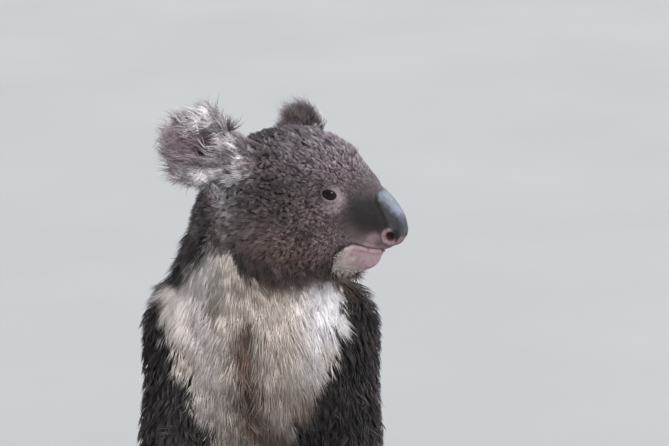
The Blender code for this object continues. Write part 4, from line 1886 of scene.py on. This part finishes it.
@dataclass
class Coat(OnSkin):
    """The whole coat, grown from the skin."""

    FIELDS = ("length", "lift", "width", "density", "wool")

    marks: Marks
    fall: tuple = (0.0, 0.05, -1.0)
    spread_sideways: float = 4.0
    paw_way: tuple = (0.12, -1.0, -0.15)
    nose: tuple = (0.075, 0.0, -0.005)
    head_fall: tuple = (-0.5, 0.0, -0.6)
    lifts: tuple = (0.06, 1.35)
    combings: int = 12
    column: dict[str, Array] = field(init=False)
    values: Array = field(init=False)
    flow: Array = field(init=False)
    tris: Array = field(init=False)
    areas: Array = field(init=False)

    def __post_init__(self) -> None:
        """Works out how the coat lies at every vertex of the skin."""
        super().__post_init__()
        lies = np.array([[getattr(LIES[region], name) for name in self.FIELDS] for region in Region])
        self.column = dict(zip(self.FIELDS, (self.weights @ lies).T))
        self.local()
        self.values = np.stack([self.column[name] for name in self.FIELDS], 1)
        self.flow = self.flows()
        mesh = self.surface.mesh
        mesh.calc_loop_triangles()
        tris = np.empty(len(mesh.loop_triangles) * 3, np.int64)
        mesh.loop_triangles.foreach_get("vertices", tris)
        self.tris = tris.reshape(-1, 3)
        a, b, c = (self.points[self.tris[:, i]] for i in range(3))
        self.areas = np.linalg.norm(np.cross(b - a, c - a), axis=1) / 2

    def scale(self, **factors: Array) -> None:
        """Multiplies fields of the coat at every vertex."""
        for name, factor in factors.items():
            self.column[name] = self.column[name] * factor

    def local(self) -> None:
        """Changes the coat where the face, the bib and the ears differ from their regions."""
        self.on_face()
        self.on_nape()
        self.on_bib()
        self.round_eyes()
        self.on_bare_skin()
        for ear in EARS.values():
            self.on_ear(ear)

    def on_face(self) -> None:
        """Short hair on the face, shortest on the muzzle, and less woolly on the jowls."""
        ahead, on_head = self.head[:, 0], self.on_head
        muzzle = smoothstep(0.10, 0.70, Place.SHORT_MUZZLE.on(self.half)) * on_head
        muzzle = np.maximum(muzzle, 0.9 * self.marks.patch)
        front = smoothstep(-0.02, 0.04, ahead) * on_head
        brow = Place.SHORT_BROW.on(self.half) * on_head
        self.scale(
            length=(1 - 0.42 * front * (1 - brow)) * (1 - 0.72 * muzzle),
            lift=(1 - 0.22 * front * (1 - brow)) * (1 - 0.65 * muzzle),
            width=(1 - 0.20 * front) * (1 - 0.40 * muzzle),
            wool=(1 - 0.8 * muzzle) * (1 - 0.55 * brow),
        )
        self.scale(length=1 - 0.38 * smoothstep(0.012, 0.045, ahead) * on_head)
        self.scale(length=1 - 0.40 * smoothstep(0.040, 0.056, ahead) * on_head)
        jowl = smoothstep(0.15, 0.65, Place.JOWL.on(self.half)) * on_head
        self.scale(wool=1 - 0.75 * jowl, lift=1 - 0.35 * jowl)

    def on_nape(self) -> None:
        """Longer hair that stands off the nape and the sides of the neck."""
        height = self.body[:, 2]
        nape = smoothstep(0.355, 0.385, height) * smoothstep(0.475, 0.445, height)
        nape *= smoothstep(-0.75, -0.35, self.normals[:, 1]) * (self.head[:, 0] < -0.02)
        nape *= (1 - self.marks.by_name["pale"]) * (1 - self.share(Region.EAR))
        self.scale(length=1 + 0.75 * nape, lift=1 + 0.35 * nape)

    def on_bib(self) -> None:
        """Longer, finer and denser hair on the bib."""
        bib = self.marks.by_name["pale"] * (1 - self.on_head) * (self.head[:, 2] < 0.05)
        self.scale(
            length=1 + 0.45 * bib,
            lift=1 - 0.15 * bib,
            width=1 - 0.42 * bib,
            density=1 + 0.9 * bib,
            wool=1 - 0.45 * bib,
        )

    def round_eyes(self) -> None:
        """Shorter hair round the eyes, and none on the lids."""
        for side in SIDES.values():
            away, out, edge = FACE.eye_places(self.head, side)
            near = (out > 0) & (away < 0.03)
            ring = near * smoothstep(0.010, 0.002, edge)
            lid = near * (edge < 0.0014)
            self.scale(length=1 - 0.75 * ring, width=1 - 0.4 * ring, lift=1 - 0.5 * ring, density=1 - lid)

    def on_bare_skin(self) -> None:
        """Little or no hair on the leather, the lips, the chin's front and inside the ears."""
        marks, chin = self.marks.by_name, self.marks.chin
        self.scale(density=1 - np.maximum(marks["leather"], marks["margin"]))
        self.scale(density=1 - 0.8 * self.marks.bare)
        self.scale(density=1 - 0.88 * chin * smoothstep(0.021, 0.030, self.head[:, 0]))
        self.scale(density=1 - 0.62 * marks["concha"], length=1 - 0.6 * chin)
        fold = smoothstep(0.2, 0.7, Place.CHIN_FOLD.on(self.half)) * self.on_head
        self.scale(length=1 - 0.45 * fold, lift=1 - 0.40 * fold)

    def on_ear(self, ear: Ear) -> None:
        """Hair that reaches an even outline round an ear.

        Args:
            ear: The ear.
        """
        _, out, up, ratio, front = ear.places(self.head, self.facing)
        mine = self.share(Region.EAR) * (self.head[:, 1] * ear.side > 0)
        wanted = np.clip(ear.reach - ratio * ear.radius, ear.least, ear.least + 0.0095)
        wanted = wanted * (1 + 0.20 * self.marks.by_name["white"])
        wanted -= 0.003 * smoothstep(0.0, 0.02, up) * smoothstep(-0.010, 0.010, out)
        level = smoothstep(0.80, 0.30, np.abs(up) / ear.radius)
        wanted += 0.006 * smoothstep(0.3, 0.9, out / ear.radius) * level
        wanted *= 1 + 0.25 * waves(self.points, 0.012, 51)
        rise = np.arcsin(np.clip((ear.ways(out, up, front) * self.facing).sum(1), -1, 1))
        self.column["length"] += mine * (wanted - self.column["length"])
        self.column["lift"] += mine * (np.clip(rise, 0.16, 1.40) - self.column["lift"])
        self.scale(density=1 + 0.8 * mine * smoothstep(0.7, 0.95, ratio))

    def flows(self) -> Array:
        """Which way the coat lies.

        Returns:
            A direction in the skin at every vertex.
        """
        points = self.points
        head = unit(points - HEAD.outside(np.array([self.nose]))[0])
        head += 0.35 * HEAD.way(np.array([self.head_fall]))[0]
        body = np.tile(self.fall, (len(points), 1))
        body[:, 0] = self.body[:, 0] * self.spread_sideways
        flow = self.on_head[:, None] * head + self.share(Region.NECK, Region.TRUNK)[:, None] * body
        for side in SIDES.values():
            mine = points[:, 0] * side > 0
            for limb in LIMBS:
                flow += (self.share(limb.region) * mine)[:, None] * limb.ways(points, side)
            flow += (self.share(Region.PAW) * mine)[:, None] * (np.array(self.paw_way) * (side, 1.0, 1.0))
        for ear in EARS.values():
            _, out, up, _, front = ear.places(self.head, self.facing)
            mine = self.head[:, 1] * ear.side > 0
            flow += (self.share(Region.EAR) * mine)[:, None] * HEAD.way(ear.ways(out, up, front))
        flow = unit(across(flow, self.normals))
        for _ in range(self.combings):
            flow = unit(across(self.surface.eased(flow, 1), self.normals))
        return flow

    def pieces(self) -> list[CoatPiece]:
        """The coat's pieces, with the share of each vertex's hair that each takes.

        Returns:
            The pieces in their order of growth.
        """
        x, y, z = self.body.T
        front = smoothstep(0.03, 0.0, y)
        left = smoothstep(-0.01, 0.01, x)
        low = smoothstep(0.19, 0.17, z)
        near = smoothstep(0.004, -0.004, self.head[:, 1])
        face = smoothstep(-0.02, -0.01, self.head[:, 0])
        far, right, rear, skull = 1 - near, 1 - left, 1 - front, 1 - face
        head, neck, trunk, ear, arm, leg, paw = (self.share(region) for region in Region)
        trunk = trunk + neck
        chest = trunk * front * (1 - low)
        return [
            CoatPiece("coat_head_right", "fur_dark", head * near * skull, 19500, 2, 0.0028, 0.50),
            CoatPiece("coat_head_left", "fur_dark", head * far * skull, 11500, 2, 0.0036, 0.50),
            CoatPiece("coat_face_right", "fur_dark", head * near * face, 22000, 2, 0.0024, 0.45),
            CoatPiece("coat_face_left", "fur_dark", head * far * face, 13000, 2, 0.0027, 0.45),
            CoatPiece("coat_ear_right", "fur_ear", ear * near, 7800, 3, 0.0044, 0.40, 0.30),
            CoatPiece("coat_ear_left", "fur_ear", ear * far, 5400, 3, 0.0046, 0.40, 0.30),
            CoatPiece("coat_bib_right", "fur_pale", chest * right, 15000, 2, 0.0050, 0.35),
            CoatPiece("coat_bib_left", "fur_pale", chest * left, 14000, 2, 0.0050, 0.35),
            CoatPiece("coat_belly", "fur_pale", trunk * front * low, 3700, 2, 0.0085, 0.6),
            CoatPiece("coat_back", "fur_limb", trunk * rear, 12500, 2, 0.0080, 0.6),
            CoatPiece("coat_arm_left", "fur_limb", arm * left, 6300, 2, 0.0060),
            CoatPiece("coat_arm_right", "fur_limb", arm * right, 6300, 2, 0.0060),
            CoatPiece("coat_leg_left", "fur_limb", leg * left, 5300, 2, 0.0070),
            CoatPiece("coat_leg_right", "fur_limb", leg * right, 5300, 2, 0.0070),
            CoatPiece("coat_paws", "fur_limb", paw, 10000, 2, 0.0044),
        ]

    def scattered(self, piece: CoatPiece, rng: np.random.Generator) -> Roots:
        """Picks where a piece's tufts start, more of them where the coat is denser.

        Args:
            piece: What grows there.
            rng: Its random numbers.

        Returns:
            The roots.
        """
        density = self.column["density"] * piece.chance
        chance = self.areas * density[self.tris].mean(1)
        picked = rng.choice(len(self.tris), piece.tufts, p=chance / chance.sum())
        return Roots(self.tris[picked], rng.dirichlet((1.0, 1.0, 1.0), piece.tufts))

    def tufts(self, piece: CoatPiece, rng: np.random.Generator) -> tuple[Tufts, Clumps]:
        """Makes a piece's tufts, alike inside each clump.

        Args:
            piece: What grows.
            rng: Its random numbers.

        Returns:
            The tufts and the clumps that they stand in.
        """
        start = self.scattered(piece, rng)
        count, uneven = piece.tufts, piece.uneven
        roots = start.at(self.points)
        normals = unit(start.at(self.normals))
        flow = unit(across(start.at(self.flow), normals))
        length, lift, width, _, wool = start.at(self.values).T
        clumps = Clumps.around(roots, rng.permutation(count)[: self.clumps(piece)])
        turn = clumps.normal(rng) * wool * 0.75 + rng.normal(0, 0.16, count)
        side = np.cross(normals, flow)
        flow = flow * np.cos(turn)[:, None] + side * np.sin(turn)[:, None]
        lift = lift * (1 + 0.35 * clumps.normal(rng) * wool) + rng.normal(0, 0.08, count)
        length = length * rng.uniform(0.72 - uneven, 1.18 + 0.3 * uneven, count)
        length *= rng.uniform(0.82 - 0.5 * uneven, 1.15, clumps.count)[clumps.mine]
        curl = (clumps.normal(rng) + 0.4 * rng.normal(0, 1, count)) * (0.05 + 0.22 * wool)
        tone = 0.48 + 0.27 * clumps.normal(rng) + 0.15 * rng.normal(0, 1, count)
        width = width * rng.uniform(0.7, 1.2, count)
        marks = {name: start.at(values) for name, values in self.marks.by_name.items() if name != "margin"}
        marks["light"] = np.maximum(marks["light"], 0.8 * marks["concha"])
        marks["concha"] = 0.25 * marks["concha"]
        tufts = Tufts(
            roots=roots,
            normals=normals,
            flow=flow,
            length=length,
            width=width,
            lift=np.clip(lift, *self.lifts),
            curl=curl,
            tone=np.clip(tone, 0, 1),
            marks=marks,
            places=self.unwrapped(roots),
            rings=piece.rings,
        )
        return tufts, clumps

    def grow(self, piece: CoatPiece, seed: int, material: Material) -> Object:
        """Grows one piece of the coat.

        Args:
            piece: What to grow.
            seed: Starts its random numbers.
            material: The coat's material.

        Returns:
            The piece's object.
        """
        tufts, clumps = self.tufts(piece, np.random.default_rng(seed))
        pull = clumps.pull(tufts.spines()[-1], tufts.length, piece.gather)
        made = new_object(piece.name, tufts.mesh(piece.name, pull))
        made.data.materials.append(material)
        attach(made, "root")
        return made

    def clumps(self, piece: CoatPiece) -> int:
        """How many clumps the piece's area holds."""
        area = (self.areas * piece.chance[self.tris].mean(1)).sum()
        return max(1, int(area / piece.clump**2))

    def unwrapped(self, roots: Array) -> Array:
        """Places of the roots on the skin unrolled about the body's long axis.

        Args:
            roots: Where the tufts start.

        Returns:
            The angle about the middle of this piece's roots and the height, as two columns.
        """
        middle = roots.mean(0)
        angle = np.arctan2(roots[:, 1] - middle[1], roots[:, 0] - middle[0])
        return np.stack((angle, roots[:, 2]), 1)

    def build(self) -> list[Object]:
        """Grows every piece.

        Returns:
            The pieces' objects.
        """
        material = CoatFinish().material()
        made = []
        for index, piece in enumerate(self.pieces()):
            made.append(self.grow(piece, SEED + index, material))
            LOG.info("%s: %d tufts", piece.name, piece.tufts)
        return made


# ---- eyes and claws
@dataclass
class Eyes:
    """Two eyeballs, each with a clear bulge over its iris."""

    bulge: float = 0.0007
    bulge_angle: float = 0.5

    def ball(self, middle: Vector, axis: Vector, name: str) -> Mesh:
        """Makes one eyeball's mesh.

        Args:
            middle: Its middle.
            axis: Which way it looks.
            name: The mesh's name.

        Returns:
            A smooth ball.
        """
        radius = HEAD.eye_radius
        bm = bmesh.new()
        bmesh.ops.create_uvsphere(bm, u_segments=64, v_segments=40, radius=radius)
        for vertex in bm.verts:
            turned = math.acos(max(-1.0, min(1.0, vertex.co.normalized().z)))
            vertex.co *= 1.0 + self.bulge / radius * math.exp(-((turned / self.bulge_angle) ** 2))
        turn = axis.to_track_quat("Z", "Y").to_matrix().to_4x4()
        bmesh.ops.transform(bm, matrix=Matrix.Translation(middle) @ turn, verts=bm.verts)
        mesh = mesh_from(bm, name)
        shade_smooth(mesh)
        return mesh

    def build(self) -> list[Object]:
        """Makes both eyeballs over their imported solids.

        Returns:
            The eyeballs' objects.
        """
        made = []
        for name, side in SIDES.items():
            low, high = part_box(f"eye_{name}")
            middle = (low + high) / 2
            outward = unit(np.array([[FACE.axis[0], FACE.axis[1] * side, FACE.axis[2]]]))
            axis = Vector(HEAD.way(outward)[0])
            ball = new_object(f"eyeball_{name}", self.ball(middle, axis, f"eyeball_{name}"))
            finish = EyeFinish(tuple(middle), tuple(axis))
            ball.data.materials.append(finish.material(f"eye_{name}"))
            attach(ball, "root")
            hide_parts(f"eye_{name}")
            made.append(ball)
        return made


@dataclass
class Claws:
    """Every claw, smooth and curved, on its packed place."""

    nodes: Nodes
    levels: int = 2

    def build(self) -> list[Object]:
        """Makes one piece of claws for each paw."""
        material = ClawFinish().material()
        return [self.paw(paw, side, material) for paw in ("hand", "foot") for side in SIDES]

    def paw(self, paw: str, side: str, material: Material) -> Object:
        """Makes the claws of one paw.

        Args:
            paw: The kind of paw.
            side: Its side.
            material: The claws' material.

        Returns:
            The piece's object.
        """
        names = sorted(name for name in self.nodes if name.startswith(f"claw_{paw}_{side}"))
        mesh = joined([merged_copy(self.nodes[name]) for name in names], f"claws_{paw}_{side}")
        claws = new_object(f"claws_{paw}_{side}", mesh)
        change = claws.modifiers.new("smooth", "SUBSURF")
        change.levels = change.render_levels = self.levels
        shade_smooth(mesh)
        mesh.materials.clear()
        mesh.materials.append(material)
        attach(claws, "root")
        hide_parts(*names)
        return claws


# ---- floor, light and camera
@dataclass(frozen=True)
class Lamp:
    """A soft light that comes from a place; its width is in degrees."""

    name: str
    at: tuple
    width: float
    power: float
    colour: tuple
    mirrored: bool = True

    def build(self, target: Vector) -> None:
        """Adds the light, turned to a place.

        Args:
            target: What it shines at.
        """
        lamp = bpy.data.lights.new(self.name, "SUN")
        lamp.angle, lamp.energy, lamp.color = math.radians(self.width), self.power, self.colour
        made = new_object(self.name, lamp)
        made.location = self.at
        made.visible_glossy = self.mirrored
        made.rotation_euler = (target - Vector(self.at)).to_track_quat("-Z", "Y").to_euler()


LAMPS = (
    Lamp("key", (1.7, -1.6, 2.0), 45.0, 0.50, (1.0, 0.98, 0.96), mirrored=False),
    Lamp("low", (2.3, -1.5, 0.85), 60.0, 1.45, (1.0, 0.97, 0.97), mirrored=False),
    Lamp("spark", (1.6, -2.1, 1.75), 12.0, 1.45, (1.0, 0.99, 0.98)),
    Lamp("fill", (-1.3, -2.3, 1.1), 70.0, 0.85, (1.0, 0.97, 0.94), mirrored=False),
    Lamp("back", (1.5, 1.7, 1.9), 45.0, 2.6, (0.84, 0.92, 1.0)),
    Lamp("side", (-1.8, 1.2, 1.5), 50.0, 0.6, (0.95, 0.97, 1.0)),
    Lamp("top", (0.4, 0.2, 3.0), 80.0, 1.1, (0.80, 0.90, 1.0)),
)


@dataclass
class Studio:
    """A plain pale floor, soft lights and the camera, whose near eye has a set place in its view."""

    elevation: float = math.radians(15.0)
    distance: float = 3.0
    step: float = 0.00087
    eye_column: float = 330.0
    eye_row: float = 194.0
    sensor: float = 36.0
    clip: tuple = (0.05, 200.0)
    lit: tuple = (0.0, 0.0, 0.35)
    floor_size: float = 60.0
    floor_colour: tuple = (0.335, 0.328, 0.320)
    floor_roughness: float = 0.85
    sky_colour: tuple = (0.90, 0.94, 1.0, 1.0)
    sky_power: float = 0.50

    def floor(self) -> None:
        """Makes the floor."""
        bm = bmesh.new()
        bmesh.ops.create_grid(bm, x_segments=2, y_segments=2, size=self.floor_size)
        floor = new_object("floor", mesh_from(bm, "floor"))
        graph = Graph("floor")
        tint = graph.ranged(graph.noise(3.0, 3.0), 0.3, 0.7, 0.97, 1.03)
        graph.set(Base_Color=graph.scaled(self.floor_colour, tint), Roughness=self.floor_roughness)
        floor.data.materials.append(graph.material)

    def lights(self) -> None:
        """Soft light from the upper right, with a fill and an even sky."""
        for lamp in LAMPS:
            lamp.build(Vector(self.lit))
        world = bpy.data.worlds.new("sky")
        world.use_nodes = True
        back = world.node_tree.nodes["Background"]
        back.inputs[0].default_value = self.sky_colour
        back.inputs[1].default_value = self.sky_power
        bpy.context.scene.world = world
        bpy.context.scene.view_settings.view_transform = "Standard"

    def camera(self) -> None:
        """Looks at the near eye from in front and above."""
        low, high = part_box("eye_R")
        eye = (low + high) / 2
        ahead = Vector((0, math.cos(self.elevation), -math.sin(self.elevation)))
        up = Vector((0, math.sin(self.elevation), math.cos(self.elevation)))
        right_by = (self.eye_column - IMAGE_WIDE / 2) * self.step
        up_by = (IMAGE_HIGH / 2 - self.eye_row) * self.step
        lens = bpy.data.cameras.new("camera")
        lens.sensor_width = self.sensor
        lens.lens = self.distance * self.sensor / (IMAGE_WIDE * self.step)
        lens.clip_start, lens.clip_end = self.clip
        made = new_object("camera", lens)
        made.location = eye - Vector((1, 0, 0)) * right_by - up * up_by - ahead * self.distance
        made.rotation_euler = (math.pi / 2 - self.elevation, 0, 0)
        bpy.context.scene.camera = made

    def build(self) -> None:
        """Sets the whole stage."""
        self.floor()
        self.lights()
        self.camera()


def main() -> None:
    """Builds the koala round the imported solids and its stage."""
    logging.basicConfig(level=logging.INFO, format="%(message)s")
    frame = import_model()
    nodes = frame["nodes"]
    skin = Skin(nodes)
    skin.build()
    made = [skin.dress()]
    made += Eyes().build()
    made += Claws(nodes).build()
    made += Coat(skin.surface, skin.marks.weights, skin.marks).build()
    Studio().build()
    for piece in made:
        LOG.info("piece %s: %d faces", piece.name, len(piece.data.polygons))
    bpy.context.view_layer.update()


if __name__ == "__main__":
    main()
